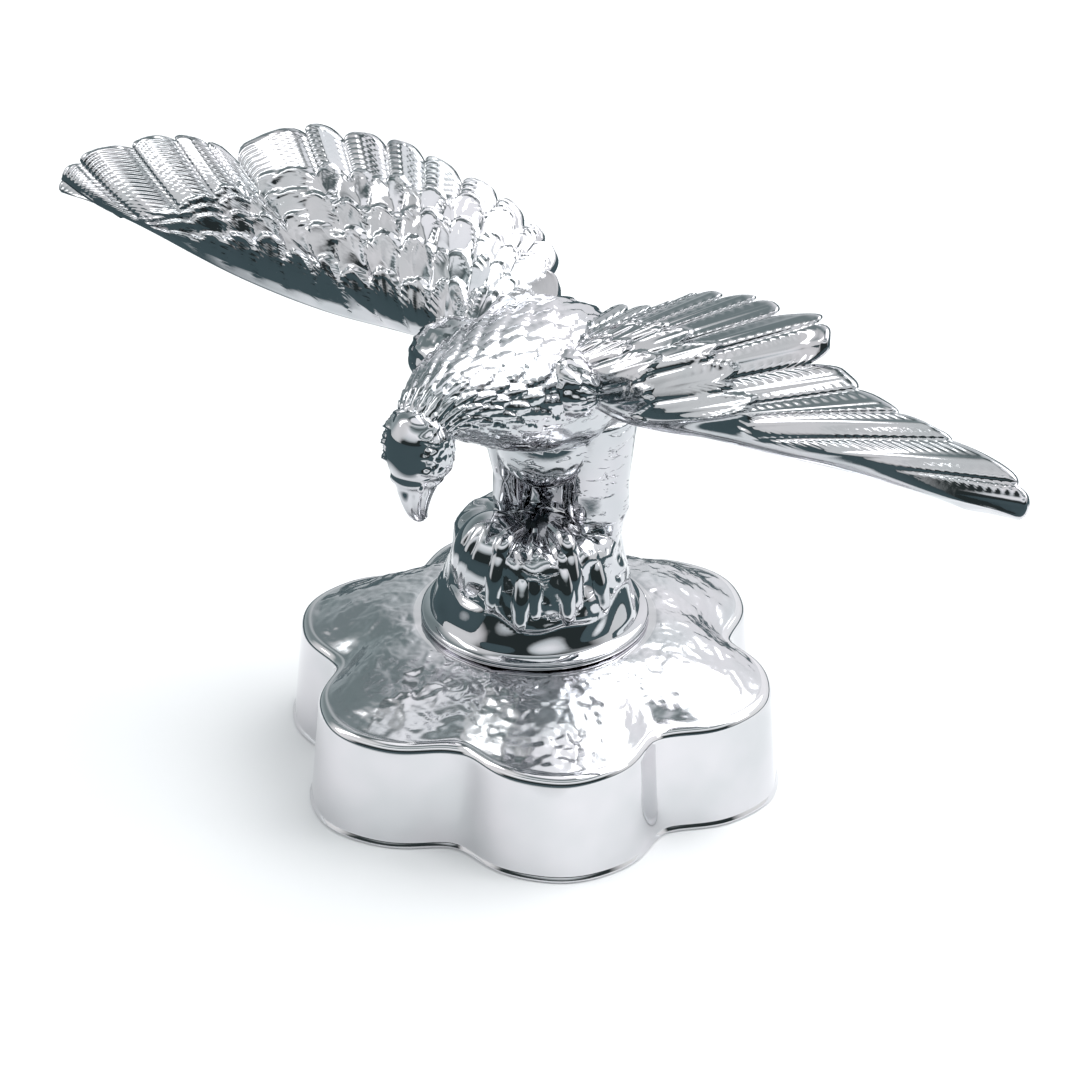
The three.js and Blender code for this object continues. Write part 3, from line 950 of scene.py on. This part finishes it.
@dataclass
class LobedBase:
    """The base: a cap with six lobes, straight drafted sides and a domed, hammered top."""

    radius: float = 48.0
    lobes: int = 6
    swell: float = 4.4
    turn: float = 15.3
    draft: float = 2.0
    rim_round: float = 2.1
    lip: float = 0.5
    seat_radius: float = 24.1
    dent_size: float = 6.5
    dent_depth: float = 0.75
    ripple_size: float = 2.6
    ripple_depth: float = 0.75
    around: int = 432
    dome_rows: int = 56

    def profile(self) -> np.ndarray:
        """Radius, swell, height and hammering of each ring, from the underside to the seat."""
        rim = self.radius - self.draft
        # The underside, the foot's lip and the step above it.
        rows = [
            (self.radius * 0.5, self.swell * 0.3, 0.0, 0.0),
            (self.radius - 0.3, self.swell, 0.0, 0.0),
            (self.radius, self.swell, self.lip * 0.5, 0.0),
            (self.radius, self.swell, self.lip * 1.4, 0.0),
            (self.radius - 0.45, self.swell, self.lip * 2.2, 0.0),
            (self.radius - 0.5, self.swell, self.lip * 3.0, 0.0),
        ]
        wall_top = RIM_HEIGHT - self.rim_round
        for share in np.linspace(0.1, 1, 9):
            height = self.lip * 3 + (wall_top - self.lip * 3) * share
            rows.append((self.radius - 0.5 - (self.draft - 0.5) * share, self.swell, height, 0.0))
        dome_edge = rim - self.rim_round
        for bend in np.radians(np.linspace(9, 90, 10)):
            reach = rim - self.rim_round * (1 - math.cos(bend))
            height = RIM_HEIGHT - self.rim_round * (1 - math.sin(bend))
            rows.append((reach, self.swell, height, 0.0))
        inward = np.linspace(0, 1, self.dome_rows + 1)[1:]
        hammering = smoothstep(inward, 0.0, 0.08) * (1 - smoothstep(inward, 0.93, 1.0))
        for share, struck in zip(inward, hammering):
            reach = dome_edge + (self.seat_radius - dome_edge) * share
            height = RIM_HEIGHT + DOME_RISE * math.sin(share * math.pi / 2) ** 1.15
            rows.append((reach, self.swell * (1 - share) ** 1.2, height, struck))
        rows.append((self.seat_radius * 0.6, 0.0, SEAT_HEIGHT, 0.0))
        return np.array(rows)

    def tree(self, finish: bpy.types.Material) -> bpy.types.NodeTree:
        """The geometry tree: presses hammer marks and a fine ripple into the top."""
        sizes = dict.fromkeys(("Dent size", "Dent depth", "Ripple size", "Ripple depth"), "Float")
        tree, given = new_tree("hammered_top", sizes)
        place = add_node(tree, "GeometryNodeInputPosition").outputs[0]
        mask = add_node(tree, "GeometryNodeInputNamedAttribute", values={"Name": "hammering"})
        mark = {}
        for name in ("Dent", "Ripple"):
            one_over = {1: given.outputs[f"{name} size"]}
            scale = add_node(tree, "ShaderNodeMath", one_over, {0: 1.0}, operation="DIVIDE")
            mark[name] = {"Vector": place, "Scale": scale.outputs[0]}
        round_marks = {"Randomness": 1.0, "Smoothness": 0.35}
        dents = add_node(tree, "ShaderNodeTexVoronoi", mark["Dent"], round_marks, feature="SMOOTH_F1")
        soft_waves = {"Detail": 2.0, "Roughness": 0.5, "Distortion": 1.2}
        ripple = add_node(tree, "ShaderNodeTexNoise", mark["Ripple"], soft_waves)
        depth = given.outputs["Dent depth"]
        deep = add_node(
            tree, "ShaderNodeMath", {0: dents.outputs["Distance"], 1: depth}, operation="MULTIPLY"
        )
        layers = {0: ripple.outputs[0], 1: given.outputs["Ripple depth"], 2: deep.outputs[0]}
        both = add_node(tree, "ShaderNodeMath", layers, operation="MULTIPLY_ADD")
        centred = add_node(tree, "ShaderNodeMath", {0: both.outputs[0], 1: depth}, operation="SUBTRACT")
        struck = {0: centred.outputs[0], 1: mask.outputs["Attribute"]}
        lift = add_node(tree, "ShaderNodeMath", struck, operation="MULTIPLY")
        offset = add_node(tree, "ShaderNodeCombineXYZ", {"Z": lift.outputs[0]})
        moved = {"Geometry": given.outputs["Geometry"], "Offset": offset.outputs[0]}
        pressed = add_node(tree, "GeometryNodeSetPosition", moved)
        end_tree(tree, pressed.outputs[0], finish)
        return tree

    def build(self, finish: bpy.types.Material, hammered: bpy.types.Material) -> bpy.types.Object:
        """Makes the base as one piece.

        Args:
            finish: The plating on its sides and rim.
            hammered: The plating on its top.

        Returns:
            The piece.
        """
        rows = self.profile()
        angle = circle(self.around)
        turn = self.lobes * (angle - math.radians(self.turn))
        lobe = np.cos(turn) - 0.18 * np.cos(2 * turn) + 0.064 * np.cos(3 * turn)
        reach = rows[:, 0:1] + rows[:, 1:2] * lobe
        height = np.broadcast_to(rows[:, 2:3], reach.shape)
        loops = np.stack([reach * np.cos(angle), reach * np.sin(angle), height], -1)
        piece = loft("chromed_lobed_base", loops).to_object([finish])
        mask = np.concatenate([np.repeat(rows[:, 3], self.around), [0.0, 0.0]])
        layer = piece.data.attributes.new("hammering", "FLOAT", "POINT")
        layer.data.foreach_set("value", mask.astype(np.float32))
        sizes = {
            "Dent size": self.dent_size * MILLIMETRE,
            "Dent depth": self.dent_depth * MILLIMETRE,
            "Ripple size": self.ripple_size * MILLIMETRE,
            "Ripple depth": self.ripple_depth * MILLIMETRE,
        }
        bake_nodes(piece, self.tree(finish), sizes)
        piece.data.materials.append(hammered)
        on_top = np.concatenate([np.repeat(rows[1:, 3] > 0, self.around), [False] * (2 * self.around)])
        piece.data.polygons.foreach_set("material_index", on_top.astype(np.int32))
        return piece


# Finishes.


def linear(hex_colour: str) -> tuple[float, float, float, float]:
    """A shader colour from an sRGB hex value."""
    parts = [int(hex_colour[i : i + 2], 16) / 255 for i in (1, 3, 5)]
    red, green, blue = (c / 12.92 if c <= 0.04045 else ((c + 0.055) / 1.055) ** 2.4 for c in parts)
    return red, green, blue, 1.0


@dataclass(frozen=True)
class ChromePlate:
    """Decorative chromium over nickel on a casting.

    A bluish mirror: nearly no blur, so the eye reads every dent in what it reflects. Waves are what
    polishing leaves, and the grain is the cast skin under the plating. Sizes are in millimetres.
    """

    name: str
    bright: str = "#cfced2"
    dull: str = "#bfc3c6"
    roughness: tuple[float, float] = (0.03, 0.09)
    wave_size: float = 6.0
    wave_depth: float = 0.02
    grain_size: float = 0.9
    grain_depth: float = 0.01
    cloud_size: float = 14.0
    cloud_band: tuple[float, float] = (0.35, 0.7)
    dash_size: tuple[float, float] = (4.5, 1.4)
    dash_depth: float = 0.0

    def make(self) -> bpy.types.Material:
        """Makes the material."""
        material = bpy.data.materials.new(self.name)
        material.use_nodes = True
        tree = material.node_tree
        tree.nodes.clear()
        place = add_node(tree, "ShaderNodeTexCoord").outputs["Object"]
        metre = 1 / MILLIMETRE
        soft = {"Scale": metre / self.cloud_size, "Detail": 2.0}
        clouds = add_node(tree, "ShaderNodeTexNoise", {"Vector": place}, soft).outputs[0]
        band = {"From Min": self.cloud_band[0], "From Max": self.cloud_band[1]}
        span = {"To Min": self.roughness[0], "To Max": self.roughness[1]}
        blur = add_node(tree, "ShaderNodeMapRange", {"Value": clouds}, band | span)
        surface = {}
        waves = (self.wave_size, 1.0, self.wave_depth)
        grain = (self.grain_size, 3.0, self.grain_depth)
        for size, detail, depth in (waves, grain):
            pattern = {"Scale": metre / size, "Detail": detail}
            surface["Height"] = add_node(tree, "ShaderNodeTexNoise", {"Vector": place}, pattern).outputs[0]
            drop = {"Strength": 1.0, "Distance": depth * MILLIMETRE}
            surface["Normal"] = add_node(tree, "ShaderNodeBump", surface, drop).outputs[0]
        normal = surface["Normal"]
        if self.dash_depth:
            normal = self.dashes(tree, place, normal)
        look = {"Base Color": self.tint(tree, clouds), "Roughness": blur.outputs[0], "Normal": normal}
        plate = add_node(tree, "ShaderNodeBsdfPrincipled", look, {"Metallic": 1.0})
        add_node(tree, "ShaderNodeOutputMaterial", {"Surface": plate.outputs[0]})
        return material

    def tint(self, tree: bpy.types.NodeTree, factor: bpy.types.NodeSocket) -> bpy.types.NodeSocket:
        """The plating's slightly uneven colour."""
        ramp = add_node(tree, "ShaderNodeValToRGB", {"Fac": factor})
        shades = (self.bright, self.dull)
        for stop, position, shade in zip(ramp.color_ramp.elements, self.cloud_band, shades):
            stop.position = position
            stop.color = linear(shade)
        return ramp.outputs[0]

    def dashes(
        self, tree: bpy.types.NodeTree, place: bpy.types.NodeSocket, normal: bpy.types.NodeSocket
    ) -> bpy.types.NodeSocket:
        """Short wavy chisel marks that run across the belly and thighs.

        Args:
            tree: The material's tree.
            place: The object coordinates.
            normal: The surface so far.

        Returns:
            The surface with the marks.
        """
        long_side, short_side = (1 / (size * MILLIMETRE) for size in self.dash_size)
        across = {"Scale": (long_side, long_side, short_side)}
        stretched = add_node(tree, "ShaderNodeMapping", {"Vector": place}, across)
        wavy = {"Scale": 1.0, "Detail": 2.0, "Distortion": 0.6}
        marks = add_node(tree, "ShaderNodeTexNoise", {"Vector": stretched.outputs[0]}, wavy)
        crests = {"From Min": 0.59, "From Max": 0.66}
        cut = add_node(tree, "ShaderNodeMapRange", {"Value": marks.outputs[0]}, crests)
        surface = {"Height": cut.outputs[0], "Normal": normal}
        drop = {"Strength": 1.0, "Distance": self.dash_depth * MILLIMETRE}
        return add_node(tree, "ShaderNodeBump", surface, drop, invert=True).outputs[0]


# The whole figure.


@dataclass
class Eagle:
    """The eagle and its perch, joined into one casting."""

    body: list[tuple[float, float, float, float]]
    head: list[tuple[float, float, float, float]]
    wings: list[Wing]
    shoulders: list[Shoulder]
    legs: list[Leg]
    perch: Perch

    def shells(self) -> list[Shell]:
        """Every closed shell of the casting, in the figure's own heights."""
        return [
            Torso("torso", self.body, 160, 168).shell(),
            *Head("head", self.head, 84, 84).shells(),
            *[leg.build() for leg in self.legs],
            egg("underbelly", (MIDDLE, 8, 34), (11.5, 6, 16), 0, Surface.POLISHED, 40),
            egg("belly", (1.5, 0.5, 44), (11.5, 8.5, 13.5), -12, Surface.CHASED, 72),
            Tail().build(),
            self.perch.rock(),
            self.perch.boulder(),
            *[shoulder.build() for shoulder in self.shoulders],
            *[wing.build() for wing in self.wings],
        ]

    def build(self, materials: list[bpy.types.Material]) -> bpy.types.Object:
        """Joins the shells into one piece.

        Args:
            materials: The finishes, in the order of Surface.

        Returns:
            The piece.
        """
        whole = Toes(self.perch).build(materials)
        for shell in self.shells():
            part = shell.lifted(FIGURE_FOOT).to_object(materials)
            join = whole.modifiers.new("join", "BOOLEAN")
            join.operation = "UNION"
            join.solver = "MANIFOLD"
            join.object = part
            bake_modifiers(whole)
            log.info("joined %s: %d faces", shell.name, len(whole.data.polygons))
            mesh = part.data
            bpy.data.objects.remove(part)
            bpy.data.meshes.remove(mesh)
        whole.name = "chromed_eagle_on_perch"
        whole.data.name = whole.name
        whole.data.shade_smooth()
        return whole


# Body and head stations are y, z, half-width and half-depth. Wing points are x, y and z.
EAGLE = Eagle(
    body=[
        (-39.5, 58, 4.4, 4.4), (-37, 62, 6.2, 5.8), (-32, 63, 8.6, 7.4), (-25, 61.5, 11.6, 9.4),
        (-17, 59.5, 14, 12), (-8, 57, 15.4, 14), (1, 54.5, 15.6, 15), (8.5, 48.5, 13.8, 14),
        (12, 39.5, 10.4, 10.5), (13, 28, 7, 6.5),
    ],
    head=[
        (-40.5, 64.6, 1.5, 1.5), (-40.8, 63.2, 4.4, 4.2), (-41, 60, 6.1, 6), (-41, 56, 6.3, 6.3),
        (-41, 52.5, 5.5, 6), (-41.4, 49.8, 4.1, 4.9), (-41.6, 47, 3.1, 3.9),
        (-41.2, 44.3, 2.2, 2.8), (-40.2, 42, 1.3, 1.7), (-39, 40.6, 0.6, 0.7),
    ],
    wings=[
        Wing(
            name="far_wing",
            leading=[
                (-8, -10, 61), (-26, -8, 58.2), (-46, -9.5, 57.3), (-66, -11, 58.8),
                (-85, -10.7, 61.4), (-104, -10.4, 64),
            ],
            tips=[
                (-2, 9, 60), (-5, 14, 69.7), (-10, 17, 73.7), (-15, 17, 76.7), (-22, 17, 80.7),
                (-30, 15, 83.2), (-39, 14, 85.9), (-48, 12.6, 86.9), (-57, 10, 86.6),
                (-65, 7.2, 86.9), (-79, 0.8, 79.6), (-84, -0.3, 80.2), (-92, -1.5, 79.4),
                (-101, -4.5, 76), (-112, -8, 70.3), (-115, -11.2, 63.4),
            ],
            coverts_point=Coverts.FROM_THE_EDGE,
            covert_ends=(0.26, 0.42, 0.56, 0.68),
            covert_width=7.4,
            covert_reach=(42.0, 92.0),
            edge_sharpness=10,
            relief=1.0,
            fan=3.8,
        ),
        Wing(
            name="near_wing",
            leading=[
                (8, -8, 60), (27, -7.5, 55.9), (46, -8, 59.2), (66, -8.5, 61.8), (85, -9, 64.3),
                (105, -9.5, 65.6),
            ],
            tips=[
                (5, 9, 58), (9, 12, 66.7), (15, 11.5, 69.2), (21, 11, 71.7), (26, 11.5, 74.7),
                (31, 12, 77.7), (38, 11, 79.7), (46, 11, 81.7), (53, 8.3, 82), (64, 7.2, 84.3),
                (68, 3, 79), (77, 0, 77), (88, -2.5, 76.4), (101, -4, 75.7), (117.5, -7, 73),
                (119.5, -9, 67.1),
            ],
            coverts_point=Coverts.ALONG_THE_FEATHERS,
            covert_ends=(0.25, 0.46, 0.64),
            covert_width=6.0,
            covert_reach=(13.0, 27.0, 51.0),
            smooth_edge=(1.6, 3.6),
            fan=5.5,
            camber=0.19,
            curl=2.2,
            barb_pitch=1.9,
            barb_depth=0.1,
            combed=(0.3, 0.75),
            edge_sharpness=8,
            dome=0.04,
            relief=0.75,
        ),
    ],
    shoulders=[
        Shoulder("far_shoulder", -1, (-9, -13, 60.5), (10, 9.5, 7.2)),
        Shoulder("near_shoulder", 1, (14, -9, 61), (8, 6.6, 6.4), rows=4.5, columns=9),
    ],
    legs=[Leg(-6.3, 0.5, 3.5, 4.5, 1.9, Surface.POLISHED), Leg(10.2, 6.5, 6, 7, 1.25)],
    perch=Perch(),
)


# The studio.


@dataclass
class Studio:
    """A pale floor with a painted pool of light in what the chrome reflects, soft boxes overhead and at the
    sides, and a dim room behind the camera.

    The camera's distance and shifts are in millimetres, the floor and the soft boxes in metres.
    """

    azimuth: float = 36.8
    elevation: float = 29.91
    distance: float = 1200.0
    shift_right: float = 0.869
    shift_up: float = 41.71
    lens: float = 196.6
    sensor: float = 36.0
    roll: float = 0.0111
    floor_half: float = 3.0
    # The oval of painted light on the floor: about its half-widths, and its shift towards the camera's
    # right, in metres.
    painted_light_oval_half: tuple[float, float] = (0.19, 0.105)
    painted_light_oval_shift: float = 0.06
    softbox_distance: float = 1.6
    softbox_aim: float = 0.06

    def axes(self) -> tuple[Vector, Vector, Vector]:
        """The camera's right, up and back directions."""
        azimuth, elevation = math.radians(self.azimuth), math.radians(self.elevation)
        right = Vector((math.cos(azimuth), math.sin(azimuth), 0))
        flat = Vector((math.sin(azimuth), -math.cos(azimuth), 0))
        back = flat * math.cos(elevation) + Vector((0, 0, math.sin(elevation)))
        return right, back.cross(right), back

    def camera(self) -> None:
        """Sets the camera where the photograph was taken from."""
        right, up, back = self.axes()
        data = bpy.data.cameras.new("camera")
        data.lens = self.lens
        data.sensor_width = self.sensor
        data.sensor_fit = "HORIZONTAL"
        data.clip_start = 0.01
        data.clip_end = 20.0
        camera = bpy.data.objects.new("camera", data)
        place = (right * self.shift_right + up * self.shift_up + back * self.distance) * MILLIMETRE
        turned = Matrix((right, up, back)).transposed() @ Matrix.Rotation(self.roll, 3, "Z")
        camera.matrix_world = Matrix.Translation(place) @ turned.to_4x4()
        bpy.context.collection.objects.link(camera)
        bpy.context.scene.camera = camera

    def floor(self) -> bpy.types.Object:
        """The floor: white in the camera's view; in what the chrome reflects, a painted pool of light, pale
        in an oval round the topper and painted dark beyond it.
        """
        mesh = bpy.data.meshes.new("floor")
        half = self.floor_half
        corners = [(-half, -half, 0), (half, -half, 0), (half, half, 0), (-half, half, 0)]
        mesh.from_pydata(corners, [], [(0, 1, 2, 3)])
        material = bpy.data.materials.new("pale_floor")
        material.use_nodes = True
        tree = material.node_tree
        tree.nodes.clear()
        right, _, _ = self.axes()
        place = add_node(tree, "ShaderNodeTexCoord").outputs["Object"]
        # Painted pool of light: the floor's colour is pale inside this oval and painted dark beyond it, as
        # if the light fell off there.
        oval = {
            "Location": tuple(right * self.painted_light_oval_shift),
            "Rotation": (0, 0, math.radians(self.azimuth)),
            "Scale": (*self.painted_light_oval_half, 1.0),
        }
        sheet = add_node(tree, "ShaderNodeMapping", {"Vector": place}, oval, vector_type="TEXTURE")
        distance = add_node(tree, "ShaderNodeVectorMath", {0: sheet.outputs[0]}, operation="LENGTH")
        edge = {"From Min": 0.93, "From Max": 1.2, "To Min": 1.0, "To Max": 0.0}
        lit = add_node(tree, "ShaderNodeMapRange", {"Value": distance.outputs["Value"]}, edge)
        # Camera rays always see the pale colour; reflections see the painted shade beyond the oval.
        paths = add_node(tree, "ShaderNodeLightPath")
        either = {0: paths.outputs["Is Camera Ray"], 1: lit.outputs[0]}
        seen = add_node(tree, "ShaderNodeMath", either, operation="MAXIMUM")
        # This dark colour is painted shade on the floor, not a darker floor.
        dim = add_node(tree, "ShaderNodeBsdfDiffuse", values={"Color": linear("#47565a")})
        pale = add_node(tree, "ShaderNodeBsdfDiffuse", values={"Color": linear("#f2f3f4")})
        layers = {0: seen.outputs[0], 1: dim.outputs[0], 2: pale.outputs[0]}
        mixed = add_node(tree, "ShaderNodeMixShader", layers)
        add_node(tree, "ShaderNodeOutputMaterial", {"Surface": mixed.outputs[0]})
        mesh.materials.append(material)
        floor = bpy.data.objects.new("floor", mesh)
        bpy.context.collection.objects.link(floor)
        return floor

    def softbox(
        self, name: str, azimuth: float, elevation: float, size: tuple[float, float], power: float
    ) -> None:
        """A rectangular area light that faces the topper.

        Args:
            name: The light's name.
            azimuth: Where it stands, in degrees clockwise from the front, seen from above.
            elevation: How high it stands, in degrees.
            size: Its width and height in metres.
            power: Its power in watts.
        """
        data = bpy.data.lights.new(name, "AREA")
        data.shape = "RECTANGLE"
        data.size, data.size_y = size
        data.energy = power
        light = bpy.data.objects.new(name, data)
        turn, rise = math.radians(azimuth), math.radians(elevation)
        flat = Vector((math.sin(turn), -math.cos(turn), 0))
        away = flat * math.cos(rise) + Vector((0, 0, math.sin(rise)))
        light.location = away * self.softbox_distance + Vector((0, 0, self.softbox_aim))
        light.rotation_euler = away.to_track_quat("Z", "Y").to_euler()
        bpy.context.collection.objects.link(light)

    def room(self) -> None:
        """The room's own soft light: pale behind the topper, dim behind the camera."""
        world = bpy.data.worlds.new("room")
        world.use_nodes = True
        bpy.context.scene.world = world
        tree = world.node_tree
        tree.nodes.clear()
        place = add_node(tree, "ShaderNodeTexCoord").outputs["Generated"]
        height = add_node(tree, "ShaderNodeSeparateXYZ", {"Vector": place}).outputs["Z"]
        right, _, _ = self.axes()
        front = right.cross(Vector((0, 0, 1)))
        card = (right * -0.72 + front * 0.06 + Vector((0, 0, 0.52))).normalized()
        aside, toward, facing_card = (
            add_node(
                tree, "ShaderNodeVectorMath", {0: place}, {1: tuple(way)}, operation="DOT_PRODUCT"
            ).outputs["Value"]
            for way in (right, front, card)
        )

        # Heights of a direction and greys: low on the left, low on the right, overhead, and at the front.
        low_left = [(0.0, 0.5), (0.4, 0.3), (0.6, 0.3), (0.75, 0.32), (0.82, 0.35)]
        low_right = [(0.0, 1.0), (0.4, 1.15), (0.6, 1.1), (0.74, 1.25), (0.82, 1.3)]
        overhead = [(0.86, 0.16), (0.91, 0.16), (0.94, 1.2), (1.0, 1.3)]
        low_near = [
            (0.0, 0.04), (0.26, 0.04), (0.36, 0.8), (0.46, 1.1),
            (0.53, 1.3), (0.59, 0.5), (0.63, 0.15), (0.7, 0.55),
        ]
        high_near = [(0.76, 1.1), (0.82, 0.5), (0.9, 0.16), (0.945, 0.16), (0.965, 1.2), (1.0, 1.3)]
        colour = self.banded_greys(tree, height, low_left + overhead)
        for way, low, high, stops in (
            (aside, -0.4, 0.2, low_right + overhead),
            (toward, -0.05, 0.45, low_near + high_near),
        ):
            span = {"From Min": low, "From Max": high}
            share = add_node(tree, "ShaderNodeMapRange", {"Value": way}, span)
            band = self.banded_greys(tree, height, stops)
            layers = {"Fac": share.outputs[0], "Color1": colour, "Color2": band}
            colour = add_node(tree, "ShaderNodeMixRGB", layers).outputs[0]

        # White to both sides, and in a card at the upper left.
        outward = add_node(tree, "ShaderNodeMath", {0: aside}, operation="ABSOLUTE").outputs[0]
        colour = self.whitened(tree, colour, outward, 0.86, 0.97)
        colour = self.whitened(tree, colour, facing_card, 0.82, 0.92)
        background = add_node(tree, "ShaderNodeBackground", {"Color": colour}, {"Strength": 1.0})
        add_node(tree, "ShaderNodeOutputWorld", {"Surface": background.outputs[0]})

    def whitened(
        self,
        tree: bpy.types.NodeTree,
        colour: bpy.types.NodeSocket,
        outward: bpy.types.NodeSocket,
        low: float,
        high: float,
    ) -> bpy.types.NodeSocket:
        """Fades a colour towards white in some directions.

        Args:
            tree: The world's tree.
            colour: The colour.
            outward: How far a direction points to the white part.
            low: Where the fade starts.
            high: Where it is complete.

        Returns:
            The faded colour.
        """
        fade = {"From Min": low, "From Max": high, "To Max": 0.8}
        share = add_node(tree, "ShaderNodeMapRange", {"Value": outward}, fade)
        layers = {"Fac": share.outputs[0], "Color1": colour}
        return add_node(tree, "ShaderNodeMixRGB", layers, {"Color2": (1, 1, 1, 1)}).outputs[0]

    def banded_greys(
        self, tree: bpy.types.NodeTree, height: bpy.types.NodeSocket, stops: list[tuple[float, float]]
    ) -> bpy.types.NodeSocket:
        """Greys in bands by the height of a direction, tealer where they are darker.

        Args:
            tree: The world's tree.
            height: The direction's height, 0 at the horizon and 1 overhead.
            stops: Heights and greys.

        Returns:
            The colour.
        """
        node = add_node(tree, "ShaderNodeValToRGB", {"Fac": height})
        elements = node.color_ramp.elements
        while len(elements) < len(stops):
            elements.new(0.5)
        for element, (position, grey) in zip(elements, stops):
            element.position = position
            element.color = (grey * (0.74 + 0.25 * min(grey, 1)), grey, grey * 1.02, 1.0)
        return node.outputs[0]

    def build(self) -> bpy.types.Object:
        """Sets the camera, the lights and the room, and returns the floor."""
        self.camera()
        self.softbox("softbox_top", 152, 57, (1.8, 1.4), 20)
        self.softbox("softbox_left", 300, 38, (0.4, 1.0), 3)
        self.softbox("softbox_right", 120, 35, (0.4, 1.0), 3)
        self.room()
        bpy.context.scene.view_settings.view_transform = "Standard"
        return self.floor()


def main() -> None:
    """Builds the topper's two castings and the studio around them."""
    logging.basicConfig(level=logging.INFO, format="%(name)s: %(message)s")
    studio = Studio()
    floor = studio.build()

    # Chrome over cast feathers that were only lightly polished: soft waves break the reflections up.
    plumage = ChromePlate("chrome_on_carved_plumage", wave_size=4, wave_depth=0.03)
    # Chrome over casting that was ground and buffed, as on the head, toes and cove: a clear mirror.
    polished = ChromePlate(
        "chrome_on_polished_casting", roughness=(0.02, 0.05), wave_size=9, grain_depth=0.003
    )
    # Chrome over chiselled casting, as on the belly, thighs and rock: short dark marks in the mirror.
    chased = ChromePlate("chrome_on_chased_casting", dash_depth=0.12)
    plated = [finish.make() for finish in (plumage, polished, chased)]
    figure = EAGLE.build(plated)
    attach(figure, "root")
    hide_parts("eagle_on_rock_perch")
    log.info("%s: %d faces", figure.name, len(figure.data.polygons))

    # Chrome over ground and buffed sides: an even, faintly soft mirror, paler than the figure's.
    sides = ChromePlate(
        "chrome_on_polished_sides", "#dedcdf", "#d3d4d6", (0.04, 0.07), wave_size=12, grain_depth=0.002
    )
    # Chrome over a hammered top left matt between the blows: reflections blur into a grey shimmer.
    hammered = ChromePlate("chrome_on_hammered_top", roughness=(0.14, 0.22), wave_size=5, wave_depth=0.06)
    base = LobedBase().build(sides.make(), hammered.make())
    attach(base, "root")
    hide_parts("lobed_base")
    log.info("%s: %d faces", base.name, len(base.data.polygons))


if __name__ == "__main__":
    main()
